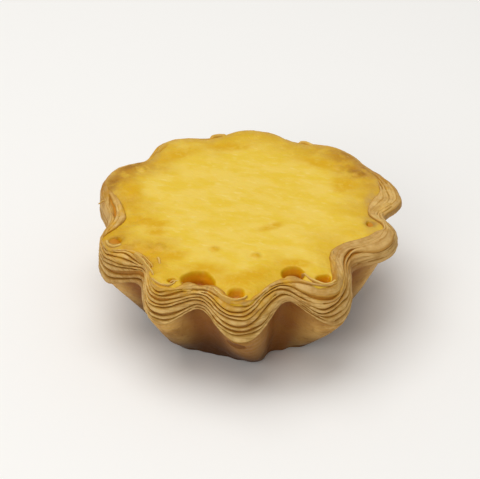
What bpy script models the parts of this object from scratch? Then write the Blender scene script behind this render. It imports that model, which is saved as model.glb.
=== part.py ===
"""A mango tart: a flaky laminated pastry shell with ten flutes, filled to its rim with mango custard.

Metres, +Z up. The origin is the centre of the flat foot, which stands on z = 0, and -Y is the tart's
front. Angles run anticlockwise from +X, seen from above.

The shell is one closed loft. It starts at the middle of the foot, climbs the fluted wall and the band
of leaf edges to the crest of the rim, and comes down inside to the floor of the cavity. The custard
is a second loft that fills that cavity and stands level with the rim.
"""

from dataclasses import dataclass

import bmesh
import bpy
import numpy as np

MM = 0.001

# Driving dimensions.
RIM_HEIGHT = 31.0 * MM
FOOT_ROUNDING = 1.1 * MM
SEGMENTS = 168
SEED = 7

# The leaves, whose edges stand out of the band as lips with grooves between them. A leaf drifts up
# and down the band by a share of its own width, and the wall meets the band a little below them all.
LEAVES = 8
LEAF_LIP = 0.3 * MM
LEAF_GROOVE = 0.85 * MM
LEAF_WAVE = 0.2 * MM
LEAF_DRIFT = 0.26
BAND_EDGE = 0.5 * MM

# How the band goes out from the crest and turns down: the powers of its reach and of its fall.
SLOPED_RIM = (1.7, 1.15)
FLAT_RIM = (2.6, 3.0)

# The cavity, and the gap that keeps the custard a solid of its own.
CREST_THICKNESS = 0.9 * MM
CAVITY_FLOOR = 4.0 * MM
CAVITY_FLOOR_RADIUS = 20.5 * MM
CUSTARD_GAP = 0.3 * MM
CUSTARD_EDGE_DROP = 0.9 * MM
CUSTARD_DOME = 1.5 * MM


@dataclass(frozen=True)
class Station:
    """One line up the wall, along the middle of a lobe or of a hollow; lengths in millimetres."""

    angle: float
    crest: float  # radius of the innermost leaf, at the rim
    skirt: float  # radius of the lowest leaf
    depth: float  # height of the band of leaves
    lift: float  # how far the rim stands above RIM_HEIGHT
    foot: float  # radius of the foot
    lean: float = 0.0  # degrees by which the foot is turned from the rim
    flat: float = 0.0  # 1 where the rim is flat on top before it turns down
    lip: float = 0.7  # how far the band of leaves stands out over the wall
    bulge: float = 0.95  # power of the wall's rise: 1 for a straight wall and less for a rounder one


@dataclass(frozen=True)
class Pocket:
    """A place where the custard has shrunk away from the pastry; lengths in millimetres."""

    angle: float
    radius: float
    along: float  # half its length round the rim
    across: float  # half its width
    deep: float


LOBES = (
    Station(10.0, 38.6, 45.4, 2.6, 0.8, 29.0, flat=1.0, lip=3.2),
    Station(47.1, 41.2, 44.5, 8.0, 0.4, 29.0, flat=1.0, lip=1.5),
    Station(87.6, 41.6, 44.7, 9.0, 0.4, 29.0, flat=1.0, lip=1.5),
    Station(121.5, 41.6, 45.1, 9.0, 0.4, 29.0, flat=1.0, lip=1.5),
    Station(153.0, 41.4, 45.4, 9.5, 0.3, 29.2, flat=1.0, lip=1.2),
    Station(202.4, 38.6, 43.4, 12.0, 0.2, 29.0, flat=0.9, lip=1.2, bulge=1.0),
    Station(237.1, 42.0, 44.1, 11.8, 0.0, 29.8, lean=-3.0, bulge=0.8),
    Station(268.2, 42.5, 44.5, 12.5, 0.0, 30.8, lean=6.5, bulge=0.72),
    Station(304.2, 42.0, 45.0, 12.2, 0.2, 28.6, lean=2.0, bulge=0.85),
    Station(342.5, 37.6, 44.2, 5.0, 1.0, 29.0, flat=0.7, lip=2.6, bulge=0.85),
)
HOLLOWS = (
    Station(33.0, 40.2, 43.4, 5.0, 0.4, 27.4, flat=1.0, lip=2.6),
    Station(67.0, 38.4, 40.9, 7.0, 0.2, 27.0, flat=1.0, lip=2.6),
    Station(104.0, 38.8, 41.3, 7.0, 0.2, 27.0, flat=1.0, lip=2.6),
    Station(138.0, 38.4, 40.8, 8.0, 0.2, 27.4, flat=1.0, lip=2.6),
    Station(182.0, 34.4, 39.4, 8.0, 0.0, 26.8, flat=0.5, lip=2.0),
    Station(220.0, 35.3, 38.5, 8.0, 0.0, 27.0, flat=0.2, lip=2.6),
    Station(252.0, 37.0, 39.7, 6.2, 0.0, 28.4, lip=2.6),
    Station(287.0, 34.5, 37.8, 5.2, 0.0, 26.8, lip=2.6),
    Station(321.5, 31.0, 37.8, 5.0, 0.7, 26.8, flat=0.6, lip=2.6),
    Station(355.0, 34.0, 39.4, 3.0, 0.8, 26.8, flat=1.0, lip=2.8),
)
POCKETS = (
    Pocket(247.6, 34.4, 4.4, 2.0, 3.0),
    Pocket(266.9, 38.3, 2.2, 1.8, 2.6),
    Pocket(292.5, 32.8, 3.2, 1.8, 2.8),
    Pocket(303.4, 37.6, 2.0, 1.7, 2.2),
    Pocket(350.0, 33.4, 1.6, 1.5, 1.4),
)

ANGLES = np.arange(SEGMENTS) * 360.0 / SEGMENTS


def flute_position(angles):
    """For each angle, the lobe and the hollow on either side of it, and how near it is to the lobe."""
    stations = sorted(
        [(s.angle, 1, i) for i, s in enumerate(LOBES)] + [(s.angle, 0, i) for i, s in enumerate(HOLLOWS)]
    )
    last, first = stations[-1], stations[0]
    stations = [(last[0] - 360.0, *last[1:]), *stations, (first[0] + 360.0, *first[1:])]
    starts = np.array([s[0] for s in stations])
    is_lobe = np.array([s[1] for s in stations])
    index = np.array([s[2] for s in stations])
    at = np.asarray(angles) % 360.0
    before = np.searchsorted(starts, at, side="right") - 1
    share = (at - starts[before]) / (starts[before + 1] - starts[before])
    eased = (1.0 - np.cos(np.pi * share)) / 2.0
    from_lobe = is_lobe[before] == 1
    lobe = np.where(from_lobe, index[before], index[before + 1])
    hollow = np.where(from_lobe, index[before + 1], index[before])
    return lobe, hollow, np.where(from_lobe, 1.0 - eased, eased)


def round_the_rim(angles, value, shape=lambda nearness: nearness):
    """A station's value at every angle, eased from each hollow out to the next lobe."""
    lobe, hollow, nearness = flute_position(angles)
    at_lobe = np.array([value(s) for s in LOBES])[lobe]
    at_hollow = np.array([value(s) for s in HOLLOWS])[hollow]
    return at_hollow + (at_lobe - at_hollow) * shape(nearness)


def crest_radius(angles):
    """The innermost leaf: narrow lobes between wide hollows."""
    return MM * round_the_rim(angles, lambda s: s.crest, lambda u: u**1.25)


def skirt_radius(angles):
    """The lowest leaf, which lies outside the others, so its lobes are wide and its hollows narrow."""
    return MM * round_the_rim(angles, lambda s: s.skirt, lambda u: 1.0 - (1.0 - u) ** 1.5)


def rim_top(angles):
    return RIM_HEIGHT + MM * round_the_rim(angles, lambda s: s.lift)


def leaf_band(angles, share):
    """Radius and height of the band of leaves, from the crest at share 0 to the skirt at share 1."""
    crest, skirt = crest_radius(angles), skirt_radius(angles)
    depth = MM * round_the_rim(angles, lambda s: s.depth)
    flat = round_the_rim(angles, lambda s: s.flat)
    reach, fall = (sloped + (level - sloped) * flat for sloped, level in zip(SLOPED_RIM, FLAT_RIM))
    radius = crest + (skirt - crest) * (1.0 - (1.0 - share) ** reach)
    return radius, rim_top(angles) - depth * share**fall


def wall_ring(share):
    """A ring of the fluted wall, from the foot at share 0 to the underside of the band at share 1."""
    top_radius, top_height = leaf_band(ANGLES, np.ones(SEGMENTS))
    top_radius = top_radius - MM * round_the_rim(ANGLES, lambda s: s.lip)
    foot = MM * round_the_rim(ANGLES, lambda s: s.foot)
    radius = foot + (top_radius - foot) * share ** round_the_rim(ANGLES, lambda s: s.bulge)
    height = FOOT_ROUNDING + (top_height - BAND_EDGE - FOOT_ROUNDING) * share
    return ring(radius, height, ANGLES + foot_lean() * (1.0 - share))


def foot_lean():
    """Degrees by which the foot is turned from the rim above it."""
    return round_the_rim(ANGLES, lambda s: s.lean)


def wave(random, angles, slowest, fastest):
    """A smooth ripple round the rim, between -1 and 1, that closes on itself."""
    counts = random.integers(slowest, fastest + 1, 4)
    phases = random.uniform(0.0, 2.0 * np.pi, 4)
    turns = np.radians(angles)
    return np.mean([np.sin(n * turns + p) for n, p in zip(counts, phases)], axis=0)


def ring(radius, height, angles=ANGLES):
    """A closed loop of points, one at each angle."""
    turns = np.radians(angles)
    height = np.broadcast_to(height, turns.shape)
    return np.column_stack([radius * np.cos(turns), radius * np.sin(turns), height])


def offset_from_band(share, distance):
    """A ring that stands a distance out of the band of leaves, square to its slope."""
    radius, height = leaf_band(ANGLES, share)
    step = 0.02
    radius_on, height_on = leaf_band(ANGLES, np.clip(share + step, 0.0, 1.0))
    radius_back, height_back = leaf_band(ANGLES, np.clip(share - step, 0.0, 1.0))
    down, out = height_back - height_on, radius_on - radius_back
    length = np.hypot(down, out)
    return ring(radius + distance * down / length, height + distance * out / length)


def leaf_rings():
    """The edges of the leaves from the lowest to the innermost: a groove, then a lip, for each."""
    random = np.random.default_rng(SEED)
    spacing = 1.0 / LEAVES
    rings = []
    for leaf in reversed(range(LEAVES)):
        drift = LEAF_DRIFT * spacing * wave(random, ANGLES, 3, 14)
        lip_share = np.clip((leaf + 0.55) * spacing + drift, 0.0, 1.0)
        groove_share = np.clip((leaf + 1.0) * spacing + drift, 0.0, 1.0)
        strength = 0.75 + 0.25 * wave(random, ANGLES, 5, 19)
        wander = LEAF_WAVE * wave(random, ANGLES, 6, 23)
        rings.append(offset_from_band(groove_share, -LEAF_GROOVE * strength))
        rings.append(offset_from_band(lip_share, LEAF_LIP * strength + wander))
    return rings


def cavity_ring(share, gap=0.0):
    """A ring of the cavity's wall, from just inside the crest at share 0 to the floor at share 1.

    A gap draws the ring inwards, by more where the wall turns away from the circle round the middle.
    """
    top_radius = crest_radius(ANGLES) - CREST_THICKNESS
    top_height = rim_top(ANGLES) - CREST_THICKNESS
    foot = CAVITY_FLOOR_RADIUS * (0.97 + 0.03 * flute_position(ANGLES)[2])
    radius = top_radius + (foot - top_radius) * share
    height = top_height + (CAVITY_FLOOR - top_height) * share
    spread = (np.roll(radius, -1) - np.roll(radius, 1)) / (radius * np.radians(720.0 / SEGMENTS))
    return ring(radius - gap * np.hypot(1.0, spread), height + gap * share)


def loft(name, rings, first_centre, last_centre, colour, roughness):
    """A closed solid through rings of equal count, ended by a point in the middle of either end."""
    mesh = bmesh.new()
    loops = [[mesh.verts.new(point) for point in points] for points in rings]
    first, last = mesh.verts.new(first_centre), mesh.verts.new(last_centre)
    for i in range(SEGMENTS):
        j = (i + 1) % SEGMENTS
        mesh.faces.new((first, loops[0][j], loops[0][i]))
        for below, above in zip(loops, loops[1:]):
            mesh.faces.new((below[i], below[j], above[j], above[i]))
        mesh.faces.new((last, loops[-1][i], loops[-1][j]))
    bmesh.ops.triangulate(mesh, faces=mesh.faces)
    data = bpy.data.meshes.new(name)
    mesh.to_mesh(data)
    mesh.free()
    data.shade_smooth()
    data.set_sharp_from_angle(angle=np.radians(50.0))
    data.materials.append(food_material(name, colour, roughness))
    solid = bpy.data.objects.new(name, data)
    bpy.context.scene.collection.objects.link(solid)
    return solid


def food_material(name, colour, roughness):
    material = bpy.data.materials.new(name)
    material.use_nodes = True
    shader = material.node_tree.nodes["Principled BSDF"]
    shader.inputs["Base Color"].default_value = (*colour, 1.0)
    shader.inputs["Roughness"].default_value = roughness
    shader.inputs["Metallic"].default_value = 0.0
    return material


def pastry_shell():
    """The laminated shell: a flat foot, a fluted wall, the band of leaves, the crest and the cavity."""
    foot = MM * round_the_rim(ANGLES, lambda s: s.foot)
    rings = [ring(foot - FOOT_ROUNDING, 0.0, ANGLES + foot_lean())]
    rings += [wall_ring(share) for share in (0.0, 0.2, 0.45, 0.72, 1.0)]
    rings += leaf_rings()
    crest = crest_radius(ANGLES)
    rings.append(ring(crest - 0.45 * CREST_THICKNESS, rim_top(ANGLES) + 0.4 * LEAF_LIP))
    rings += [cavity_ring(share) for share in (0.0, 0.35, 0.7, 1.0)]
    floor_centre = (0.0, 0.0, CAVITY_FLOOR)
    return loft("pastry_shell", rings, (0.0, 0.0, 0.0), floor_centre, (0.52, 0.31, 0.12), 0.7)


def custard_height(radius, angles, edge):
    """The top of the custard: a low dome that sinks at the pockets along its edge."""
    from_middle = radius / edge
    height = rim_top(angles) - CUSTARD_EDGE_DROP + CUSTARD_DOME * (1.0 - from_middle**4)
    height = height - (rim_top(angles) - RIM_HEIGHT) * (1.0 - from_middle**3)
    for pocket in POCKETS:
        along = (np.radians(angles - pocket.angle) + np.pi) % (2.0 * np.pi) - np.pi
        along = along * pocket.radius / pocket.along
        across = (radius - pocket.radius * MM) / (pocket.across * MM)
        height = height - pocket.deep * MM * np.exp(-(along**2) - across**2)
    return height


def custard_edge():
    """Radius and height of the custard's edge, which slides down the wall where a pocket sinks it."""
    brim, floor = cavity_ring(0.0, CUSTARD_GAP), cavity_ring(1.0, CUSTARD_GAP)
    brim_radius, floor_radius = np.hypot(*brim[:, :2].T), np.hypot(*floor[:, :2].T)
    height = custard_height(brim_radius, ANGLES, brim_radius)
    share = (brim[:, 2] - height) / (brim[:, 2] - floor[:, 2])
    return brim_radius + (floor_radius - brim_radius) * share, height


def mango_custard():
    """The filling: a plug that follows the cavity up to its edge, then its domed and dimpled top."""
    rings = [cavity_ring(share, CUSTARD_GAP) for share in (1.0, 0.65, 0.3)]
    edge, edge_height = custard_edge()
    rings.append(ring(edge, edge_height))
    for share in (0.965, 0.93, 0.89, 0.83, 0.74, 0.6, 0.4, 0.2):
        radius = edge * share
        rings.append(ring(radius, custard_height(radius, ANGLES, edge)))
    floor_centre = (0.0, 0.0, CAVITY_FLOOR + CUSTARD_GAP)
    top_centre = (0.0, 0.0, RIM_HEIGHT - CUSTARD_EDGE_DROP + CUSTARD_DOME)
    return loft("mango_custard", rings, floor_centre, top_centre, (0.83, 0.55, 0.1), 0.35)


def main():
    for thing in list(bpy.data.objects):
        bpy.data.objects.remove(thing)
    pastry_shell()
    mango_custard()


main()
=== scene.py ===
"""A mango tart: a puff pastry shell of thin leaves with ten flutes, filled to the brim with baked custard.

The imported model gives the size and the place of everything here. The shell is dressed as a wall that
the tin has shaped, with eight thin leaves of pastry fanned out above it, and the filling as a soft
custard with shrunken pockets along its edge. Lengths are in millimetres until a mesh is made.
"""

import logging
import math
from dataclasses import dataclass
from enum import Enum
from functools import partial
from typing import Any, Callable

import bmesh
import bpy
import numpy as np
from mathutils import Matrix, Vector


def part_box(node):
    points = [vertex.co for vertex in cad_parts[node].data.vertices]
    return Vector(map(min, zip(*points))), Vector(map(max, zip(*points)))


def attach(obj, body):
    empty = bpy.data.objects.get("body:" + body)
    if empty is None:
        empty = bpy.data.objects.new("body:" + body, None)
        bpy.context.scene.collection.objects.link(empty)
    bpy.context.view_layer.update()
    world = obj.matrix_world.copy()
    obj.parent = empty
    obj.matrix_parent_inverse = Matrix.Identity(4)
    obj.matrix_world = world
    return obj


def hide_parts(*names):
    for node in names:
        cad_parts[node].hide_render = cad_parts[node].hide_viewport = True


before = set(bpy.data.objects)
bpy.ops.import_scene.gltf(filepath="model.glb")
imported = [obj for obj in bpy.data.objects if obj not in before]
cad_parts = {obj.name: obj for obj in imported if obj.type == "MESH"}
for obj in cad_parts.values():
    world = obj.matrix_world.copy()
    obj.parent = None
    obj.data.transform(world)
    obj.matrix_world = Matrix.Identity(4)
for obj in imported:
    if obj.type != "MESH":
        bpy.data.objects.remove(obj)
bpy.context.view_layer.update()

log = logging.getLogger("mango_tart")

SHELL_NODE = "pastry_shell"
CUSTARD_NODE = "mango_custard"
BODY = "root"

# The shell's height at which the lengths below are true, and the metres that one of their
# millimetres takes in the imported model.
SHELL_HEIGHT_MM = 32.19
SHELL_LOW, SHELL_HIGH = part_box(SHELL_NODE)
MM = (SHELL_HIGH[2] - SHELL_LOW[2]) / SHELL_HEIGHT_MM

Array = np.ndarray


# ---------------------------------------------------------------------------------------------
# The outline of the tart
# ---------------------------------------------------------------------------------------------


@dataclass(frozen=True)
class Station:
    """One line up the wall, along the middle of a lobe or of a hollow."""

    angle: float
    crest: float  # radius of the innermost leaf, at the rim
    skirt: float  # radius of the lowest leaf
    depth: float  # height of the band of leaves
    lift: float  # how far the rim stands above the rim height
    foot: float  # radius of the foot
    lean: float = 0.0  # degrees by which the foot is turned from the rim
    flat: float = 0.0  # 1 where the rim is flat on top before it turns down
    lip: float = 0.7  # how far the band of leaves stands out over the wall
    bulge: float = 0.95  # power of the wall's rise; less is rounder


LOBES = (
    Station(10.0, 38.6, 45.4, 2.6, 0.8, 29.0, flat=1.0, lip=3.2),
    Station(47.1, 41.2, 44.5, 8.0, 0.4, 29.0, flat=1.0, lip=1.5),
    Station(87.6, 41.6, 44.7, 9.0, 0.4, 29.0, flat=1.0, lip=1.5),
    Station(121.5, 41.6, 45.1, 9.0, 0.4, 29.0, flat=1.0, lip=1.5),
    Station(153.0, 41.4, 45.4, 9.5, 0.3, 29.2, flat=1.0, lip=1.2),
    Station(202.4, 38.6, 43.4, 12.0, 0.2, 29.0, flat=0.9, lip=1.2, bulge=1.0),
    Station(237.1, 42.0, 44.1, 11.8, 0.0, 29.8, lean=-3.0, lip=0.3, bulge=0.8),
    Station(268.2, 42.5, 44.5, 12.5, 0.0, 30.8, lean=6.5, lip=0.3, bulge=0.72),
    Station(304.2, 42.0, 45.0, 12.2, 0.2, 28.6, lean=2.0, lip=0.3, bulge=0.85),
    Station(342.5, 37.6, 44.2, 5.0, 1.0, 29.0, flat=0.7, lip=2.6, bulge=0.85),
)
HOLLOWS = (
    Station(33.0, 40.2, 43.4, 5.0, 0.4, 27.4, flat=1.0, lip=2.6),
    Station(67.0, 38.4, 40.9, 7.0, 0.2, 27.0, flat=1.0, lip=2.6),
    Station(104.0, 38.8, 41.3, 7.0, 0.2, 27.0, flat=1.0, lip=2.6),
    Station(138.0, 38.4, 40.8, 8.0, 0.2, 27.4, flat=1.0, lip=2.6),
    Station(182.0, 34.4, 39.4, 8.0, 0.0, 26.8, flat=0.5, lip=2.0),
    Station(220.0, 35.3, 38.5, 8.0, 0.0, 27.0, flat=0.2, lip=2.6),
    Station(252.0, 37.0, 39.7, 6.2, 0.0, 28.4, lip=2.6),
    Station(287.0, 34.5, 37.8, 5.2, 0.0, 26.8, lip=2.6),
    Station(321.5, 31.0, 37.8, 5.0, 0.7, 26.8, flat=0.6, lip=2.6),
    Station(355.0, 34.0, 39.4, 3.0, 0.8, 26.8, flat=1.0, lip=2.8),
)


@dataclass(frozen=True)
class Outline:
    """The fluted outline that every piece of the tart follows.

    Attributes:
        rim_height: Height of the rim over the foot, before a station's lift.
        inwards: Length of one share of the level top, further in than the crest.
        sloped: Powers of the band's reach and of its fall where the rim slopes from the crest.
        flat: The same where the rim is flat on top.
        foot_rounding: Radius of the foot's edge.
        tuck: How far the wall's top lies below the lowest leaf.
        back: Angle at the middle of the back, where the custard has run out over the leaves.
        back_reach: Degrees either way to where it begins to stop, and to where it has stopped.
    """

    rim_height: float = 31.0
    inwards: float = 10.0
    sloped: tuple[float, float] = (1.7, 1.15)
    flat: tuple[float, float] = (2.6, 3.0)
    foot_rounding: float = 1.1
    tuck: float = 0.5
    back: float = 91.0
    back_reach: tuple[float, float] = (68.0, 82.0)

    def nearness(self, angles: Array) -> tuple[Array, Array, Array]:
        """Finds the flute that each angle lies in.

        Args:
            angles: Angles in degrees.

        Returns:
            The lobe's index, the hollow's index, and how near the lobe is, from 0 to 1.
        """
        marks = [(s.angle, 1, i) for i, s in enumerate(LOBES)]
        marks = sorted(marks + [(s.angle, 0, i) for i, s in enumerate(HOLLOWS)])
        last, first = marks[-1], marks[0]
        marks = [(last[0] - 360.0, *last[1:]), *marks, (first[0] + 360.0, *first[1:])]
        starts = np.array([m[0] for m in marks])
        is_lobe = np.array([m[1] for m in marks])
        index = np.array([m[2] for m in marks])
        at = np.asarray(angles) % 360.0
        before = np.searchsorted(starts, at, side="right") - 1
        share = (at - starts[before]) / (starts[before + 1] - starts[before])
        eased = (1.0 - np.cos(np.pi * share)) / 2.0
        from_lobe = is_lobe[before] == 1
        lobe = np.where(from_lobe, index[before], index[before + 1])
        hollow = np.where(from_lobe, index[before + 1], index[before])
        return lobe, hollow, np.where(from_lobe, 1.0 - eased, eased)

    def along(
        self,
        angles: Array,
        value: Callable[[Station], float],
        shape: Callable[[Array], Array] = lambda near: near,
    ) -> Array:
        """Eases a station's value from each hollow out to the next lobe.

        Args:
            angles: Angles in degrees.
            value: Reads the value from a station.
            shape: Bends the easing, to make lobes narrower or wider.

        Returns:
            The value at each angle.
        """
        lobe, hollow, near = self.nearness(angles)
        at_lobe = np.array([value(s) for s in LOBES])[lobe]
        at_hollow = np.array([value(s) for s in HOLLOWS])[hollow]
        return at_hollow + (at_lobe - at_hollow) * shape(near)

    def crest(self, angles: Array) -> Array:
        """Radius of the innermost leaf: narrow lobes between wide hollows."""
        return self.along(angles, lambda s: s.crest, lambda near: near**1.25)

    def skirt(self, angles: Array) -> Array:
        """Radius of the lowest leaf: wide lobes between narrow hollows."""
        return self.along(angles, lambda s: s.skirt, lambda near: 1.0 - (1.0 - near) ** 1.5)

    def rim(self, angles: Array) -> Array:
        """Height of the rim."""
        return self.rim_height + self.along(angles, lambda s: s.lift)

    def band(self, angles: Array, share: Array) -> tuple[Array, Array]:
        """Follows the band of leaves from the crest down to the skirt.

        Args:
            angles: Angles in degrees.
            share: 0 at the crest and 1 at the skirt; less than 0 further in, level with the rim.

        Returns:
            Radius and height.
        """
        crest, skirt = self.crest(angles), self.skirt(angles)
        depth = self.along(angles, lambda s: s.depth)
        flat = self.along(angles, lambda s: s.flat)
        reach, fall = (low + (high - low) * flat for low, high in zip(self.sloped, self.flat))
        inwards = self.inwards * np.minimum(share, 0.0)
        share = np.maximum(share, 0.0)
        radius = crest + (skirt - crest) * (1.0 - (1.0 - share) ** reach) + inwards
        return radius, self.rim(angles) - depth * share**fall

    def share_at(self, angles: Array, radius: Array) -> Array:
        """Finds the place on the band that lies at a radius.

        Args:
            angles: Angles in degrees.
            radius: The radius at each.

        Returns:
            The share: 0 at the crest or further in, and 1 at the skirt.
        """
        crest, skirt = self.crest(angles), self.skirt(angles)
        reach = self.sloped[0] + (self.flat[0] - self.sloped[0]) * self.along(angles, lambda s: s.flat)
        run = np.clip((radius - crest) / (skirt - crest), 0.0, 1.0)
        return 1.0 - (1.0 - run) ** (1.0 / reach)

    def behind(self, angles: Array) -> Array:
        """1 along the back of the rim, where the custard has run out over the leaves, and 0 elsewhere."""
        return 1.0 - smooth(*self.back_reach, np.abs(turned(angles, self.back)))

    def band_frame(self, angles: Array, share: Array) -> tuple[Array, Array, Array, Array]:
        """Gives a place on the band and the directions that a leaf there follows.

        Args:
            angles: Angles in degrees.
            share: 0 at the crest and 1 at the skirt.

        Returns:
            Points, unit vectors out of the band, unit vectors down it, and the band's length there.
        """
        step = 0.02
        share = np.minimum(share, 1.0)
        low, high = share - step, np.minimum(share + step, 1.0)
        radius, height = self.band(angles, share)
        radius_low, height_low = self.band(angles, low)
        radius_high, height_high = self.band(angles, high)
        run, fall = radius_high - radius_low, height_low - height_high
        length = np.hypot(run, fall)
        around = self.facing(angles, radius)
        run, fall = run / length, fall / length
        points = ring_points(radius, height, angles)
        out = np.column_stack([around * fall[:, None], run])
        down = np.column_stack([around * run[:, None], -fall])
        return points, out, down, length / (high - low)

    def facing(self, angles: Array, radius: Array) -> Array:
        """Gives the level unit vectors that face out of a closed ring.

        Args:
            angles: Angles in degrees, evenly spaced over the whole ring.
            radius: The ring's radius at each.

        Returns:
            Two columns, X and Y.
        """
        turns = np.radians(angles)
        x, y = radius * np.cos(turns), radius * np.sin(turns)
        dx, dy = np.roll(x, -1) - np.roll(x, 1), np.roll(y, -1) - np.roll(y, 1)
        length = np.hypot(dx, dy)
        return np.column_stack([dy / length, -dx / length])

    def wall(self, angles: Array, share: float) -> tuple[Array, Array, Array]:
        """Follows the outer wall from the foot up to the underside of the band.

        Args:
            angles: Angles in degrees, as at the rim.
            share: 0 at the foot and 1 under the band.

        Returns:
            Radius, height, and the angles turned by the foot's lean.
        """
        top_radius, top_height = self.band(angles, np.ones(len(angles)))
        top_radius = top_radius - self.along(angles, lambda s: s.lip)
        foot = self.along(angles, lambda s: s.foot)
        radius = foot + (top_radius - foot) * share ** self.along(angles, lambda s: s.bulge)
        height = self.foot_rounding + (top_height - self.tuck - self.foot_rounding) * share
        return radius, height, angles + self.along(angles, lambda s: s.lean) * (1.0 - share)


def ring_points(radius: Array | float, height: Array | float, angles: Array) -> Array:
    """Turns radius, height and angle in degrees into points, one row each."""
    turns = np.radians(angles)
    return np.column_stack([radius * np.cos(turns), radius * np.sin(turns), height + 0.0 * turns])


class Lumps:
    """Smooth unevenness in space: a seeded lattice of values, eased between its points."""

    CELLS = 32

    def __init__(self, seed: int) -> None:
        """Draws the lattice from a seed."""
        self.table = np.random.default_rng(seed).uniform(-1.0, 1.0, (self.CELLS,) * 3)

    def at(self, points: Array, size: float) -> Array:
        """Reads the unevenness.

        Args:
            points: Points in millimetres, one row each.
            size: Size of one lump in millimetres.

        Returns:
            Values from -1 to 1.
        """
        place = np.asarray(points) / size
        cell = np.floor(place).astype(int)
        near = place - cell
        near = near * near * (3.0 - 2.0 * near)
        total = np.zeros(len(place))
        for corner in np.ndindex(2, 2, 2):
            i, j, k = ((cell + corner) % self.CELLS).T
            weight = np.prod(np.where(corner, near, 1.0 - near), axis=1)
            total += weight * self.table[i, j, k]
        return total

    def layered(self, points: Array, size: float, layers: int = 3) -> Array:
        """Reads lumps of several sizes, each half as large and as strong as the last, from about -1 to 1."""
        total = sum(self.at(points + 7.3 * n, size / 2**n) / 2**n for n in range(layers))
        return total / (2.0 - 2.0 ** (1 - layers))


def smooth(low: float, high: float, value: Array | float) -> Array:
    """Rises smoothly from 0 at low to 1 at high."""
    share = np.clip((value - low) / (high - low), 0.0, 1.0)
    return share * share * (3.0 - 2.0 * share)


def hump(value: Array, middle: float, half_width: float) -> Array:
    """A soft hump of 1 at middle that fades over about half_width on either side."""
    return np.exp(-(((value - middle) / half_width) ** 2))


def turned(angles: Array, middle: float) -> Array:
    """Degrees from middle to each angle, from -180 to 180."""
    return (np.asarray(angles) - middle + 180.0) % 360.0 - 180.0


def around(angles: Array, middle: float, half_width: float) -> Array:
    """A soft hump of 1 at one angle round the tart. Angles are in degrees."""
    return hump(turned(angles, middle), 0.0, half_width)


def ring_angles(columns: int) -> Array:
    """So many evenly spaced angles round the tart, in degrees."""
    return np.arange(columns) * 360.0 / columns


# ---------------------------------------------------------------------------------------------
# Making meshes
# ---------------------------------------------------------------------------------------------


class Mark(Enum):
    """The values that the meshes keep on their points, for the leaf tree and the finishes to read."""

    HALF = "half"  # half a leaf's thickness in millimetres
    TIP = "tip_share"  # 1 at a leaf's tip and -1 at its root
    LEAF = "leaf"  # a leaf's place on the band, from 0 at the crest to 1 at the skirt
    LIE = "lie"  # how far down the band a point lies, in millimetres
    STAIN = "stain"  # how far custard has coloured a leaf
    TOAST = "toast"  # how far a leaf is painted browner: browning, and painted shade low in the hollows and under the lobes
    BARE = "bare"  # how plain and pale a leaf is
    BEHIND = "behind"  # 1 behind the leaves and in the cavity
    TORN = "torn"  # how far the wall is torn, and painted shade in its creases
    LOBE = "lobe"  # 1 on the lobes of the wall and 0 in its hollows, which take painted shade; lower on the front lobe's flank, painted shade too
    BROWNED = "browned"  # how far the foot darkens: browning from the tin and painted shade
    POCKET = "pocket"  # share of the deepest pocket's depth
    GOLDEN = "golden"  # how golden the custard is near its edge
    TOASTED = "toasted"  # how far its edge has browned
    RICH = "rich"  # where it is a deep yellow
    SCORCH = "scorch"  # where the oven has caught it
    FILM = "film"  # where it is a dry film on the pastry


def grid_mesh(name: str, rings: list[Array], marks: dict[Mark, list[Array]]) -> bpy.types.Object:
    """Makes a closed solid from rings of equal count, ended by a point in the middle of either end.

    Args:
        name: Name of the object.
        rings: Rings of points in millimetres, in order up the outside and down the inside.
        marks: Values to keep on the points: for each mark, one array for each ring.

    Returns:
        The object, with its place in its mesh.
    """
    count, columns = len(rings), len(rings[0])
    points = np.vstack([*rings, rings[0].mean(axis=0), rings[-1].mean(axis=0)])
    low = np.arange(count - 1)[:, None] * columns + np.arange(columns)
    side = np.roll(low, -1, axis=1)
    quads = np.stack([low, side, side + columns, low + columns], axis=-1).reshape(-1, 4)
    here = np.arange(columns)
    after = np.roll(here, -1)
    top = (count - 1) * columns
    first = np.column_stack([np.full(columns, count * columns), after, here])
    last = np.column_stack([np.full(columns, count * columns + 1), top + here, top + after])
    mesh = bpy.data.meshes.new(name)
    mesh.from_pydata(points * MM, [], [*quads.tolist(), *first.tolist(), *last.tolist()])
    for mark, values in marks.items():
        flat = np.concatenate([*values, [values[0].mean(), values[-1].mean()]])
        mesh.attributes.new(mark.value, "FLOAT", "POINT").data.foreach_set("value", flat)
    mesh.shade_smooth()
    return link_piece(name, mesh)


def link_piece(name: str, mesh: bpy.types.Mesh) -> bpy.types.Object:
    """Puts a mesh into the scene.

    Args:
        name: Name of the object.
        mesh: Its mesh.

    Returns:
        The object, which lies at the origin.
    """
    piece = bpy.data.objects.new(name, mesh)
    bpy.context.scene.collection.objects.link(piece)
    return piece


def face_outwards(piece: bpy.types.Object) -> None:
    """Turns every face of a closed piece outwards.

    Args:
        piece: The piece.
    """
    work = bmesh.new()
    work.from_mesh(piece.data)
    bmesh.ops.recalc_face_normals(work, faces=work.faces)
    work.to_mesh(piece.data)
    work.free()


def add_node(
    tree: bpy.types.NodeTree,
    kind: str,
    settings: dict[str, Any] | None = None,
    links: dict[str | int, Any] | None = None,
) -> bpy.types.Node:
    """Adds a node with its settings, and fills or links its inputs.

    Args:
        tree: The tree that gets the node.
        kind: The node's type.
        settings: Its properties by name.
        links: Its inputs by name or number: an output socket, a node whose first output is
            meant, or a plain value.

    Returns:
        The node.
    """
    node = tree.nodes.new(kind)
    for name, value in (settings or {}).items():
        setattr(node, name, value)
    for name, value in (links or {}).items():
        socket = node.inputs[name]
        if isinstance(value, bpy.types.Node):
            value = value.outputs[0]
        if isinstance(value, bpy.types.NodeSocket):
            tree.links.new(value, socket)
        else:
            socket.default_value = value
    return node


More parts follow.
